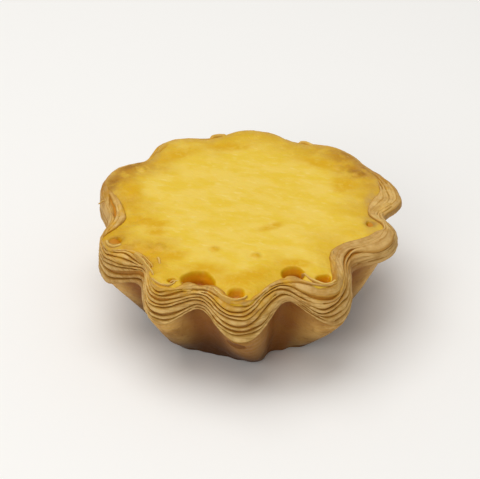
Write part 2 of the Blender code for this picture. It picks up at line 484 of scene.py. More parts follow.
def run_geometry_nodes(piece: bpy.types.Object, tree: bpy.types.NodeTree, sizes: dict[str, Any]) -> None:
    """Runs a tree on a piece and keeps the result as the piece's plain mesh.

    Args:
        piece: The piece whose mesh the tree reads.
        tree: The tree.
        sizes: Values of its named inputs.
    """
    modifier = piece.modifiers.new(tree.name, "NODES")
    modifier.node_group = tree
    for item in tree.interface.items_tree:
        if item.item_type == "SOCKET" and item.in_out == "INPUT" and item.name in sizes:
            modifier[item.identifier] = sizes[item.name]
    depsgraph = bpy.context.evaluated_depsgraph_get()
    mesh = bpy.data.meshes.new_from_object(piece.evaluated_get(depsgraph))
    piece.modifiers.remove(modifier)
    old, piece.data = piece.data, mesh
    bpy.data.meshes.remove(old)
    mesh.name = piece.name


def dress(piece: bpy.types.Object, node: str) -> None:
    """Fixes a piece to the tart's body, and hides the node that it stands for.

    Args:
        piece: The piece.
        node: The node that it replaces.
    """
    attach(piece, BODY)
    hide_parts(node)
    log.info("%s: %d faces", piece.name, len(piece.data.polygons))


# ---------------------------------------------------------------------------------------------
# The tree that makes a leaf
# ---------------------------------------------------------------------------------------------


class LeafTree:
    """The Geometry Nodes tree that turns a line into a leaf of pastry.

    The line's points carry four vectors. A round profile runs along the line, and each of its points
    is moved to the tip, the root, the upper or the lower face that the vectors give.
    """

    RIPPLES = ("Ripple size", "Ripple height")
    ROUGHNESS = ("Roughness size", "Roughness height")
    SHEETS = ("Sheet thickness", "Sheet height")
    # The side of the profile that each vector moves, as an axis and a sign, and the power that
    # rounds the section there.
    FACES = {
        "tip": ("X", 1.0, 1.0),
        "root": ("X", -1.0, 1.0),
        "below": ("Y", 1.0, 0.85),
        "above": ("Y", -1.0, 0.85),
    }
    VECTOR = {"data_type": "FLOAT_VECTOR"}
    SHEET_LENGTH_MM = 7.0
    NOISE_SWING = 4.0  # brings noise, which stays within a quarter of its middle, to about 1 either way

    def __init__(self) -> None:
        """Builds the tree, with its named inputs."""
        self.tree = bpy.data.node_groups.new("leaf_of_pastry", "GeometryNodeTree")
        self.add = partial(add_node, self.tree)
        inputs = {"Line": "Geometry", "Sides": "Int"}
        inputs |= dict.fromkeys(self.RIPPLES + self.ROUGHNESS + self.SHEETS, "Float")
        inputs |= {"Seed": "Int", "Finish": "Material"}
        for name, kind in inputs.items():
            self.tree.interface.new_socket(name, in_out="INPUT", socket_type=f"NodeSocket{kind}")
        self.tree.interface.new_socket("Leaf", in_out="OUTPUT", socket_type="NodeSocketGeometry")
        self.given = self.tree.nodes.new("NodeGroupInput").outputs
        tube = self.tube()
        self.centre, profile = (
            self.add("GeometryNodeInputNamedAttribute", self.VECTOR, {"Name": name})
            for name in ("centre", "profile")
        )
        self.across = self.add("ShaderNodeSeparateXYZ", links={0: profile}).outputs
        self.end(tube, self.ridged(self.roughened(self.on_faces())))

    def tube(self) -> bpy.types.Node:
        """Runs a round profile along the line.

        Returns:
            The node whose tube keeps the line's place and the profile's on its points.
        """
        line = self.add("GeometryNodeMeshToCurve", links={"Mesh": self.given["Line"]})
        circle = {"Resolution": self.given["Sides"], "Radius": 1.0}
        profile = self.add("GeometryNodeCurvePrimitiveCircle", links=circle)
        place = self.add("GeometryNodeInputPosition")
        line, profile = (
            self.add(
                "GeometryNodeStoreNamedAttribute",
                self.VECTOR | {"domain": "POINT"},
                {"Geometry": curve, "Name": name, "Value": place},
            )
            for curve, name in ((line, "centre"), (profile, "profile"))
        )
        ends = {"Curve": line, "Profile Curve": profile, "Fill Caps": True}
        return self.add("GeometryNodeCurveToMesh", links=ends)

    def on_faces(self) -> bpy.types.Node:
        """Moves each point of the profile to the faces that the line's vectors give.

        Returns:
            The node that gives the points' places.
        """
        place = self.centre
        for name, (axis, sign, power) in self.FACES.items():
            share = self.add("ShaderNodeMath", {"operation": "MULTIPLY"}, {0: self.across[axis], 1: sign})
            share = self.add("ShaderNodeMath", {"operation": "MAXIMUM"}, {0: share, 1: 0.0})
            share = self.add("ShaderNodeMath", {"operation": "POWER"}, {0: share, 1: power})
            face = self.add("GeometryNodeInputNamedAttribute", self.VECTOR, {"Name": name})
            moved = {0: face, 1: share, 2: place}
            place = self.add("ShaderNodeVectorMath", {"operation": "MULTIPLY_ADD"}, moved)
        return place

    def roughened(self, place: bpy.types.Node) -> bpy.types.Node:
        """Makes the leaf uneven: broad ripples that run through it, and a fine roughness on its skin.

        Args:
            place: The node that gives the points' places.

        Returns:
            The node that gives the new places.
        """
        middle = (0.5, 0.5, 0.5)
        for where, (size, height) in ((self.centre, self.RIPPLES), (place, self.ROUGHNESS)):
            scale = self.add("ShaderNodeMath", {"operation": "DIVIDE"}, {0: 1.0, 1: self.given[size]})
            pattern = {"Vector": where, "W": self.given["Seed"], "Scale": scale}
            pattern |= {"Detail": 2.0, "Roughness": 0.5}
            noise = self.add("ShaderNodeTexNoise", {"noise_dimensions": "4D"}, pattern).outputs["Color"]
            swing = self.add("ShaderNodeVectorMath", {"operation": "SUBTRACT"}, {0: noise, 1: middle})
            strength = {0: self.given[height], 1: self.NOISE_SWING}
            reach = self.add("ShaderNodeMath", {"operation": "MULTIPLY"}, strength)
            moved = {0: swing, 1: reach, 2: place}
            place = self.add("ShaderNodeVectorMath", {"operation": "MULTIPLY_ADD"}, moved)
        return place

    def ridged(self, place: bpy.types.Node) -> bpy.types.Node:
        """Lets the edges of the sheets that make up a leaf stand out on its tip, as long thin ridges.

        Args:
            place: The node that gives the points' places.

        Returns:
            The node that gives the new places.
        """
        half, lie = (
            self.add("GeometryNodeInputNamedAttribute", {"data_type": "FLOAT"}, {"Name": mark.value})
            for mark in (Mark.HALF, Mark.LIE)
        )
        section = {0: self.across["Y"], 1: half, 2: lie}
        self.lie = self.add("ShaderNodeMath", {"operation": "MULTIPLY_ADD"}, section)
        length = {0: self.centre, "Scale": 1.0 / (self.SHEET_LENGTH_MM * MM)}
        along = self.add("ShaderNodeVectorMath", {"operation": "SCALE"}, length)
        thickness = {0: self.lie, 1: self.given["Sheet thickness"]}
        sheet = self.add("ShaderNodeMath", {"operation": "DIVIDE"}, thickness)
        pattern = {"Vector": along, "W": sheet, "Scale": 1.0, "Detail": 1.0}
        noise = self.add("ShaderNodeTexNoise", {"noise_dimensions": "4D"}, pattern).outputs["Fac"]
        swing = self.add("ShaderNodeMath", {"operation": "SUBTRACT"}, {0: noise, 1: 0.5})
        on_tip = self.add("ShaderNodeMath", {"operation": "MAXIMUM"}, {0: self.across["X"], 1: 0.0})
        height = swing
        for share in (on_tip, self.NOISE_SWING, self.given["Sheet height"]):
            height = self.add("ShaderNodeMath", {"operation": "MULTIPLY"}, {0: height, 1: share})
        tip = self.add("GeometryNodeInputNamedAttribute", self.VECTOR, {"Name": "tip"})
        out = self.add("ShaderNodeVectorMath", {"operation": "NORMALIZE"}, {0: tip})
        moved = {0: out, 1: height, 2: place}
        return self.add("ShaderNodeVectorMath", {"operation": "MULTIPLY_ADD"}, moved)

    def end(self, tube: bpy.types.Node, place: bpy.types.Node) -> None:
        """Puts the tube's points in their places, keeps their marks, and gives the leaf its finish.

        Args:
            tube: The node that gives the tube.
            place: The node that gives the points' places.
        """
        leaf = self.add("GeometryNodeSetPosition", links={"Geometry": tube, "Position": place})
        for mark, value in ((Mark.TIP, self.across["X"]), (Mark.LIE, self.lie)):
            leaf = self.add(
                "GeometryNodeStoreNamedAttribute",
                {"data_type": "FLOAT", "domain": "POINT"},
                {"Geometry": leaf, "Name": mark.value, "Value": value},
            )
        for name in ("centre", "profile", *self.FACES, Mark.HALF.value):
            leaf = self.add("GeometryNodeRemoveAttribute", links={"Geometry": leaf, "Name": name})
        leaf = self.add("GeometryNodeRealizeInstances", links={"Geometry": leaf})
        finish = {"Geometry": leaf, "Material": self.given["Finish"]}
        leaf = self.add("GeometryNodeSetMaterial", links=finish)
        self.add("NodeGroupOutput", links={"Leaf": leaf})


@dataclass(frozen=True)
class LeafSurface:
    """The section and the unevenness that the leaf tree gives a leaf. Lengths are in millimetres.

    Attributes:
        sides: Points round the section.
        ripple: Size and height of the broad ripples.
        roughness: Size and height of the fine roughness.
        sheets: Thickness of the sheets whose edges show on the tip, and how far they stand out.
        seed: Seed of the first leaf's noise.
    """

    sides: int
    ripple: tuple[float, float]
    roughness: tuple[float, float]
    sheets: tuple[float, float]
    seed: int

    def shape(
        self, piece: bpy.types.Object, tree: bpy.types.NodeTree, number: int, finish: bpy.types.Material
    ) -> None:
        """Turns a line into a leaf.

        Args:
            piece: The line, whose mesh becomes the leaf's.
            tree: The leaf tree.
            number: The leaf's number, from 0.
            finish: The leaf's material.
        """
        sizes = {
            "Sides": self.sides,
            "Ripple size": self.ripple[0] * MM,
            "Ripple height": self.ripple[1] * MM,
            "Roughness size": self.roughness[0] * MM,
            "Roughness height": self.roughness[1] * MM,
            "Sheet thickness": self.sheets[0],
            "Sheet height": self.sheets[1] * MM,
            "Seed": self.seed + number,
            "Finish": finish,
        }
        run_geometry_nodes(piece, tree, sizes)
        face_outwards(piece)
        piece.data.shade_smooth()


def vector_line(
    name: str, points: Array, vectors: dict[str, Array], marks: dict[Mark, Array], closed: bool
) -> bpy.types.Object:
    """Makes a line whose points carry the vectors and values that the leaf tree reads.

    Args:
        name: Name of the object.
        points: The line's points in millimetres.
        vectors: The section's vectors by name, in millimetres.
        marks: The values to keep, one array for each mark.
        closed: Whether the last point joins the first.

    Returns:
        The object.
    """
    count = len(points)
    mesh = bpy.data.meshes.new(name)
    ends = [(n, (n + 1) % count) for n in range(count if closed else count - 1)]
    mesh.from_pydata(points * MM, ends, [])
    for face, value in vectors.items():
        mesh.attributes.new(face, "FLOAT_VECTOR", "POINT").data.foreach_set("vector", (value * MM).ravel())
    for mark, value in marks.items():
        mesh.attributes.new(mark.value, "FLOAT", "POINT").data.foreach_set("value", value)
    return link_piece(name, mesh)


# ---------------------------------------------------------------------------------------------
# The leaves of pastry
# ---------------------------------------------------------------------------------------------


# The lines between the leaves, from the custard's edge outwards. Each is a course round the rim of
# (angle, place on the band, width of the gap), and the gap is closed where its width is below 0.
GAP_LINES = (
    (
        (6, -0.1, 0), (14, 0.1, 0), (30, 0.1, 0), (100, 0, 0), (165, 0.1, 0), (176, 0.05, 0),
        (186, -0.05, 0), (194, 0.1, 0), (198, 0.4, 0), (206, 0.4, 0), (211, 0.1, 0), (216, -0.02, 0),
        (223, 0.06, 0), (229, 0.14, 0), (236, 0.06, 0), (240, 0.05, 0), (243, 0.1, 0),
        (247, -0.06, 0), (251, 0.14, 0), (255, -0.04, 0), (258, -0.1, 0), (262, 0.02, 0),
        (266, 0.07, 0), (269, 0.02, 0), (272, 0.08, 0), (275, 0, 0), (285, 0, 0), (289.5, -0.18, 0),
        (292, -0.2, 0), (294, -0.06, 0), (298, 0.03, 0), (302, 0.02, 0), (306, -0.06, 0),
        (309, -0.22, 0), (313, -0.12, 0), (317, 0, 0), (341, 0.02, 0), (345, 0.2, 0), (350, 0.3, 0),
        (354, 0.12, 0),
    ),
    (
        (20, 0.1, 0), (60, 0.1, 0), (150, 0.1, -0.1), (178, 0.14, -0.1), (188, 0.15, 0.1),
        (196, 0.2, 0.2), (200, 0.25, 0.3), (204, 0.3, 0.1), (208, 0.2, 0.1), (213, 0.12, 0.1),
        (216, 0.2, 0.3), (219, 0.25, 0.5), (222, 0.22, 0.4), (225, 0.15, 0.1), (234, 0.22, 0.1),
        (236, 0.24, 0.3), (238, 0.2, 0.35), (240, 0.14, 0.1), (244, 0.14, 0), (250, 0.24, 0),
        (256, 0.2, 0.1), (260, 0.15, 0.1), (264, 0.16, 0.3), (266, 0.16, 0.5), (268, 0.14, 0.3),
        (270, 0.2, 0.1), (271.5, 0.19, 0.5), (273, 0.13, 0.4), (276, 0.05, 0.1), (280, 0.07, 0.1),
        (284, 0.12, 0.1), (288, 0.18, 0.1), (291, 0.1, 0.2), (294, 0.07, 0.4), (298, 0.09, 0.5),
        (300, 0.08, 0.45), (302, 0.08, 0.3), (304, 0.03, 0), (309, -0.05, -0.1), (318, 0.12, -0.1),
        (345, 0.08, -0.1),
    ),
    (
        (20, 0.22, 0), (60, 0.22, 0), (150, 0.22, -0.1), (167, 0.24, -0.1), (171, 0.3, 1.1),
        (175, 0.36, 1.9), (179, 0.36, 1.6), (184, 0.3, 0.1), (188, 0.3, 0.1), (200, 0.38, 0.1),
        (206, 0.43, 0.3), (208, 0.4, 0.5), (210, 0.28, 0.6), (212, 0.22, 0.3), (215, 0.33, 0.3),
        (219, 0.38, 0), (225, 0.24, 0), (232, 0.32, 0), (238, 0.3, 0.3), (241, 0.27, 0.6),
        (243, 0.22, 0.7), (244.5, 0.19, 0.4), (247, 0.25, 0), (252, 0.32, 0), (256, 0.31, 0.3),
        (258, 0.33, 0.5), (260, 0.36, 0.4), (263, 0.37, 0.2), (266, 0.33, 0.35), (270, 0.3, 0.4),
        (273, 0.23, 0.35), (276, 0.12, 0.15), (280, 0.14, 0.1), (284, 0.18, 0.1), (288, 0.26, 0.15),
        (291, 0.36, 0.5), (294, 0.41, 0.8), (297, 0.41, 0.8), (300, 0.38, 0.75), (303, 0.35, 0.6),
        (304.5, 0.34, 0), (308, 0.25, -0.1), (320, 0.2, -0.1), (345, 0.18, -0.1),
    ),
    (
        (20, 0.36, 0), (60, 0.36, 0), (150, 0.36, -0.1), (178, 0.43, -0.1), (188, 0.45, 0.1),
        (200, 0.5, 0.2), (205, 0.57, 0.45), (208, 0.5, 0.4), (211, 0.44, 0.2), (213, 0.42, 0.3),
        (219, 0.44, 0.05), (225.5, 0.3, 0), (228, 0.38, 0), (232, 0.45, 0.3), (235, 0.42, 0.6),
        (238, 0.4, 0.8), (241, 0.37, 0.7), (243.5, 0.36, 0.4), (246, 0.4, 0), (252, 0.42, 0),
        (256, 0.42, 0.3), (259, 0.48, 0.45), (262, 0.45, 0.3), (266, 0.4, 0.35), (270, 0.4, 0.35),
        (274, 0.32, 0.35), (276, 0.22, 0.25), (278, 0.2, 0.3), (282, 0.26, 0.45), (285, 0.36, 0.5),
        (288, 0.48, 0.5), (290, 0.58, 0.45), (292, 0.62, 0.3), (295, 0.58, 0.1), (300, 0.47, 0),
        (304, 0.42, -0.1), (308, 0.34, 0), (311, 0.32, 0.2), (313, 0.31, 0.5), (316, 0.35, 0.65),
        (319, 0.38, 0.65), (322, 0.35, 0.65), (325, 0.28, 0.5), (327, 0.25, 0.2), (332, 0.27, -0.1),
        (345, 0.28, -0.1),
    ),
    (
        (20, 0.5, 0), (60, 0.5, 0), (150, 0.5, -0.1), (178, 0.57, -0.1), (188, 0.6, 0.1),
        (200, 0.6, 0.2), (203, 0.66, 0.3), (206, 0.65, 0.4), (209, 0.6, 0.2), (213, 0.6, 0.25),
        (216, 0.56, 0.3), (219, 0.5, 0.25), (225.5, 0.34, 0), (229, 0.48, 0), (233, 0.56, 0.2),
        (238, 0.52, 0.2), (242, 0.49, 0.1), (245, 0.47, 0.35), (248, 0.5, 0.3), (252, 0.54, 0.2),
        (256, 0.56, 0.3), (259, 0.58, 0.2), (262, 0.53, 0.25), (266, 0.48, 0.2), (270, 0.5, 0),
        (274, 0.42, 0), (280, 0.38, 0), (286, 0.5, 0), (290, 0.64, 0), (294, 0.7, 0.1),
        (298, 0.67, 0.35), (301, 0.57, 0.4), (303, 0.52, 0.35), (304.5, 0.48, 0.5), (306, 0.43, 0.5),
        (309, 0.46, 0.4), (312, 0.48, 0.1), (316, 0.46, 0.25), (319, 0.5, 0.25), (322, 0.48, 0.3),
        (324, 0.44, 0.6), (326, 0.42, 0.8), (328, 0.46, 0.85), (330, 0.54, 0.8), (333, 0.62, 0.7),
        (336, 0.62, 0.4), (339, 0.62, 0.2), (344, 0.5, -0.05), (352, 0.4, -0.1),
    ),
    (
        (20, 0.64, 0), (60, 0.64, 0), (150, 0.64, -0.1), (178, 0.68, -0.1), (188, 0.7, 0.1),
        (203, 0.74, 0.1), (209, 0.7, 0.2), (213, 0.67, 0.2), (219, 0.6, 0.1), (222, 0.5, 0.1),
        (225.5, 0.38, 0), (229, 0.58, 0), (232, 0.65, 0.25), (236, 0.6, 0.3), (240, 0.57, 0.3),
        (244, 0.57, 0.3), (247, 0.6, 0.3), (252, 0.65, 0.15), (259, 0.68, 0.1), (262, 0.68, 0.25),
        (266, 0.66, 0.4), (270, 0.65, 0.5), (273, 0.62, 0.4), (276, 0.53, 0.6), (278, 0.5, 0.7),
        (281, 0.52, 0.65), (284, 0.56, 0.55), (286, 0.6, 0.2), (290, 0.74, 0), (295, 0.82, 0.2),
        (297, 0.82, 0.3), (300, 0.7, 0.35), (303, 0.6, 0.3), (306, 0.53, 0.1), (308, 0.58, 0.3),
        (309.5, 0.66, 0.35), (312, 0.62, 0), (326, 0.62, -0.1), (333, 0.74, 0), (345, 0.66, -0.1),
    ),
    (
        (60, 0.78, 0), (150, 0.78, -0.1), (178, 0.81, -0.1), (188, 0.82, 0.1), (204, 0.82, 0.3),
        (208, 0.83, 0.7), (212, 0.83, 1.0), (216, 0.77, 1.2), (220, 0.67, 1.2), (223, 0.57, 1.1),
        (225.5, 0.44, 0.8), (228, 0.6, 0.3), (232, 0.74, 0.1), (235, 0.8, 0.4), (237, 0.76, 0.6),
        (241, 0.77, 0.75), (244, 0.8, 0.6), (246, 0.84, 0.3), (249, 0.83, 0.35), (252, 0.8, 0.1),
        (256, 0.8, 0.1), (259, 0.87, 0.4), (261, 0.8, 0.5), (264, 0.77, 0.6), (268, 0.75, 0.6),
        (272, 0.75, 0.6), (274, 0.77, 0.45), (277, 0.84, 0.2), (281, 0.75, 0), (286, 0.76, 0),
        (291, 0.85, 0), (295, 0.9, 0.1), (300, 0.82, 0.1), (304, 0.72, 0), (318, 0.74, -0.1),
        (345, 0.8, -0.1),
    ),
    (
        (60, 0.9, 0), (150, 0.9, 0.1), (208, 0.92, 0.1), (216, 0.9, 0.3), (220, 0.84, 0.3),
        (223, 0.75, 0.3), (226, 0.66, 0.2), (230, 0.76, 0.1), (234, 0.88, 0.2), (238, 0.87, 0.3),
        (241, 0.9, 0.3), (244, 0.94, 0.2), (250, 0.93, 0), (258, 0.93, 0.1), (264, 0.85, 0.2),
        (268, 0.83, 0.3), (272, 0.84, 0.3), (275, 0.9, 0.2), (280, 0.86, 0), (290, 0.93, 0),
        (294, 0.95, 0.3), (300, 0.9, 0.1), (306, 0.84, 0.1), (312, 0.86, 0), (345, 0.9, -0.1),
    ),
)


@dataclass(frozen=True)
class Toasting:
    """A stretch of the rim that is painted browner: browning from the oven, and on two stretches painted
    shade.
    """

    angle: float
    half_width: float  # in degrees
    strength: float
    start: float = -1.0  # place on the band where it begins to show
    full: float = -0.5  # place on the band where it is at its strongest

    def share(self, angles: Array, middle: Array) -> Array:
        """How much browning and painted shade it gives a leaf whose place on the band is middle."""
        strength = self.strength * around(angles, self.angle, self.half_width)
        return strength * smooth(self.start, self.full, middle)


TOASTINGS = (
    # Painted shade on the low leaves under the overhanging lobe.
    Toasting(10.0, 12.0, 0.75, 0.35, 0.75),
    Toasting(26.0, 9.0, 0.6),
    Toasting(160.0, 9.0, 0.75),
    # Painted shade on the leaves along the lobe's shaded flank.
    Toasting(206.0, 13.0, 0.4, 0.1, 0.5),
    Toasting(299.0, 12.0, 0.48),
    Toasting(320.0, 8.0, 0.4),
    Toasting(335.0, 12.0, 0.5),
)


@dataclass
class LeafBand:
    """The leaves of puff pastry whose edges make the rim.

    Each leaf is a thin plate that lies square to the band. Its tip is round, and its root is hidden
    in the wall. Where the gap beside it is closed, it runs into its neighbour.

    Attributes:
        outline: The outline that the leaves follow.
        columns: Points round the rim.
        root_depth: How far a leaf reaches back into the wall.
        merge: How far a leaf runs into its neighbour where the gap is closed.
        tip_reach: How far the round tip of a thick leaf stands out.
        roundness: The same for a thin leaf, as a share of half its thickness.
        thinnest: Half the thickness of the thinnest leaf.
        ragged: How far a leaf's tip wanders in and out.
        frayed: How many leaves, from the innermost, are frayed in the hollow at the front left.
        wander: How far a leaf wanders up and down the band.
        unevenness: How far the width of a gap wanders.
        softness: Points over which the corners of a gap's course are rounded.
        surface: The leaves' section and unevenness.
    """

    outline: Outline
    columns: int = 960
    root_depth: float = 2.0
    merge: float = 0.24
    tip_reach: float = 0.6
    roundness: float = 0.95
    thinnest: float = 0.13
    ragged: float = 0.3
    frayed: int = 2
    wander: float = 0.22
    unevenness: float = 0.24
    softness: int = 15
    surface: LeafSurface = LeafSurface(32, (3.2, 0.11), (0.8, 0.035), (0.42, 0.13), 60)

    def lines(self) -> tuple[Array, Array]:
        """Follows every gap round the rim.

        Returns:
            The gaps' places on the band and their widths, one row each. The last row is the skirt.
        """
        angles = ring_angles(self.columns)
        length = self.outline.band_frame(angles, np.full(self.columns, 0.5))[3]
        lumps, rim = Lumps(40), ring_points(self.outline.crest(angles), 0.0 * angles, angles)
        places, widths = [], []
        for number, course in enumerate(GAP_LINES):
            turns, place, width = np.array(course).T
            place, width = self.eased(angles, turns, place), self.eased(angles, turns, width)
            drift = self.wander * lumps.layered(rim + 13.0 * number, 7.0) / length
            if number > 0:
                place = np.maximum(place + drift, places[-1] + 2.0 * self.thinnest / length)
                width = width + self.unevenness * lumps.layered(rim - 19.0 * number, 4.0)
            places.append(place)
            widths.append(width)
        places.append(np.maximum(1.0, places[-1] + 0.04))
        widths.append(np.zeros(self.columns))
        return np.array(places), np.array(widths)

    def eased(self, angles: Array, turns: Array, values: Array) -> Array:
        """Joins values given at some angles round the rim with a soft curve.

        Args:
            angles: The angles at which the curve is wanted, in degrees.
            turns: The angles at which the values are given.
            values: The values.

        Returns:
            The value at each angle.
        """
        fine = np.interp(angles, turns, values, period=360.0)
        kernel = np.hanning(self.softness)
        half = len(kernel) // 2
        padded = np.concatenate([fine[-half:], fine, fine[:half]])
        return np.convolve(padded, kernel / kernel.sum(), mode="valid")

    def ring(self, leaf: int, places: Array, widths: Array) -> bpy.types.Object:
        """Makes the line that one leaf follows, with the vectors that give the leaf its section.

        Args:
            leaf: The leaf's number from the innermost.
            places: The gaps' places on the band, one row each.
            widths: The gaps' widths.

        Returns:
            A closed line with its vectors and marks as attributes of its points.
        """
        angles = ring_angles(self.columns)
        middle = 0.5 * (places[leaf] + places[leaf + 1])
        length = self.outline.band_frame(angles, middle)[3]
        trimmed = [np.where(w > 0.0, 0.5 * w, w - self.merge) for w in widths[leaf : leaf + 2]]
        upper = places[leaf] + trimmed[0] / length
        lower = places[leaf + 1] - trimmed[1] / length
        half = np.maximum(0.5 * (lower - upper) * length, self.thinnest)
        points, out, down, _ = self.outline.band_frame(angles, 0.5 * (upper + lower))
        plain = 1.0 - 0.7 * around(angles, 352.0, 26.0)
        tip = np.minimum(self.roundness * half, self.tip_reach) * plain
        points = points + out * (self.raggedness(leaf, angles, points) - tip)[:, None]
        vectors = {
            "tip": out * tip[:, None],
            "root": -out * self.root_depth,
            "above": -down * half[:, None],
            "below": down * half[:, None],
        }
        marks = {
            Mark.LEAF: middle,
            Mark.HALF: half,
            Mark.LIE: middle * length,
            Mark.STAIN: self.stain(leaf, middle, angles, points),
            Mark.TOAST: self.toast(middle, angles, points),
            Mark.BARE: np.maximum(around(angles, 348.0, 34.0), 0.9 * around(angles, 180.0, 13.0)),
        }
        return vector_line(f"leaf_{leaf + 1:02d}", points, vectors, marks, closed=True)

    def raggedness(self, leaf: int, angles: Array, points: Array) -> Array:
        """How far a leaf's tip stands out, or lies back where it is chipped.

        Args:
            leaf: The leaf's number from the innermost.
            angles: Angles in degrees.
            points: The leaf's points.

        Returns:
            Distance outwards at each point.
        """
        crispness = 1.0 - 0.75 * around(angles, 345.0, 36.0)
        reach = self.ragged * Lumps(41).layered(points - 17.0 * leaf, 9.0)
        chipped = 0.35 * smooth(0.5, 0.8, Lumps(42).layered(points - 11.0 * leaf, 4.5))
        if leaf < self.frayed:
            frayed = smooth(-0.1, 0.3, Lumps(45).layered(points - 9.0 * leaf, 1.6))
            chipped = chipped + 0.7 * around(angles, 251.0, 7.0) * frayed
        return crispness * (reach - chipped)

    def stain(self, leaf: int, middle: Array, angles: Array, points: Array) -> Array:
        """How far custard has coloured a leaf: patches high on the band, most at the back.

        Args:
            leaf: The leaf's number from the innermost.
            middle: Its place on the band.
            angles: Angles in degrees.
            points: The leaf's points.

        Returns:
            The share at each point, from 0 to 1.
        """
        patches = smooth(-0.15, 0.35, Lumps(43).layered(points - 5.0 * leaf, 5.0))
        clean = 0.9 * around(angles, 338.0, 28.0)
        front = 0.75 * patches * smooth(0.8, 0.15, middle) * (1.0 - clean)
        left = 0.8 * around(angles, 232.0, 15.0) * smooth(0.5, 0.15, middle)
        back = 1.1 * around(angles, 100.0, 62.0) * smooth(0.75, 0.35, middle)
        return np.clip(np.max([front, left, back], axis=0), 0.0, 1.0)

    def toast(self, middle: Array, angles: Array, points: Array) -> Array:
        """How far a leaf is painted browner: browning on some stretches and here and there, and painted
        shade low in the hollows and on two stretches.

        Args:
            middle: Its place on the band.
            angles: Angles in degrees.
            points: The leaf's points.

        Returns:
            The share at each point, from 0 to 1.
        """
        hollow = 1.0 - self.outline.nearness(angles)[2]
        browned = sum(toasting.share(angles, middle) for toasting in TOASTINGS)
        # Painted shade: the low leaves darker in the hollows.
        browned = browned + 0.55 * smooth(0.5, 0.9, middle) * hollow**2
        patches = 0.45 * Lumps(44).layered(points, 9.0) - 0.12
        return np.clip(browned + patches, 0.0, 1.0)

    def build(self, finish: bpy.types.Material) -> list[bpy.types.Object]:
        """Makes every leaf.

        Args:
            finish: The leaves' material.

        Returns:
            One closed piece for each leaf.
        """
        tree = LeafTree().tree
        places, widths = self.lines()
        leaves = [self.ring(leaf, places, widths) for leaf in range(len(GAP_LINES))]
        for number, leaf in enumerate(leaves):
            self.surface.shape(leaf, tree, number, finish)
        return leaves


@dataclass(frozen=True)
class Flake:
    """A thin leaf that has come away from the rim and stands on its edge."""

    path: tuple[tuple[float, float], ...]  # angle in degrees and radius of each point along it
    high: float = 0.25  # of its edge over the rim
    thick: float = 0.42
    stain: float = 0.0  # how far custard has coloured it
    deep: float = 1.9  # how far it reaches down


CURL = (
    (297.2, 33.2), (297.5, 35.0), (297.9, 36.9), (299.0, 39.3),
    (300.6, 41.1), (303.2, 41.7), (307.0, 41.2),
)
HOOK = (
    (256.0, 36.8), (258.0, 38.2), (260.6, 40.2), (264.0, 41.8),
    (267.7, 42.1), (270.3, 40.9), (270.8, 39.2),
)
BACK_BLISTER = ((97.4, 40.3), (99.5, 41.2), (101.6, 41.5), (103.7, 41.2), (105.8, 40.3))
RIGHT_BLISTER = ((58.5, 39.4), (60.6, 40.5), (62.7, 41.0), (64.8, 40.6), (66.9, 39.6))
ROLLED_RIM = ((199.8, 40.6), (201.8, 41.3), (204.2, 41.4), (206.2, 40.4), (206.4, 38.6), (205.0, 37.2))
FLAKES = (
    Flake(CURL, thick=0.6),
    Flake(HOOK),
    Flake(((231.0, 40.2), (234.0, 41.4), (237.0, 41.7), (239.8, 41.3), (241.2, 39.6), (240.8, 37.6))),
    Flake(((238.4, 39.6), (239.6, 38.6), (241.6, 38.0), (243.4, 37.4)), high=0.1),
    Flake(((315.0, 33.4), (316.7, 32.3), (318.5, 31.8), (320.4, 31.4)), high=0.4),
    Flake(((213.5, 37.0), (217.0, 36.7), (221.5, 36.9), (227.0, 37.8), (231.6, 39.4)), high=0.35),
    Flake(((216.5, 35.7), (220.0, 35.5), (224.0, 36.1), (228.0, 37.0)), high=0.15, stain=0.4),
    Flake(((222.0, 32.6), (225.0, 33.2), (229.5, 35.4)), thick=0.7, stain=0.4),
    Flake(((169.5, 40.4), (170.3, 41.6), (171.0, 42.9)), high=-1.3, thick=0.3, deep=0.4),
    Flake(BACK_BLISTER, high=0.3, thick=1.4, stain=0.5),
    Flake(RIGHT_BLISTER, high=0.3, thick=1.4, stain=0.5),
    Flake(ROLLED_RIM, high=0.1, thick=0.8),
)


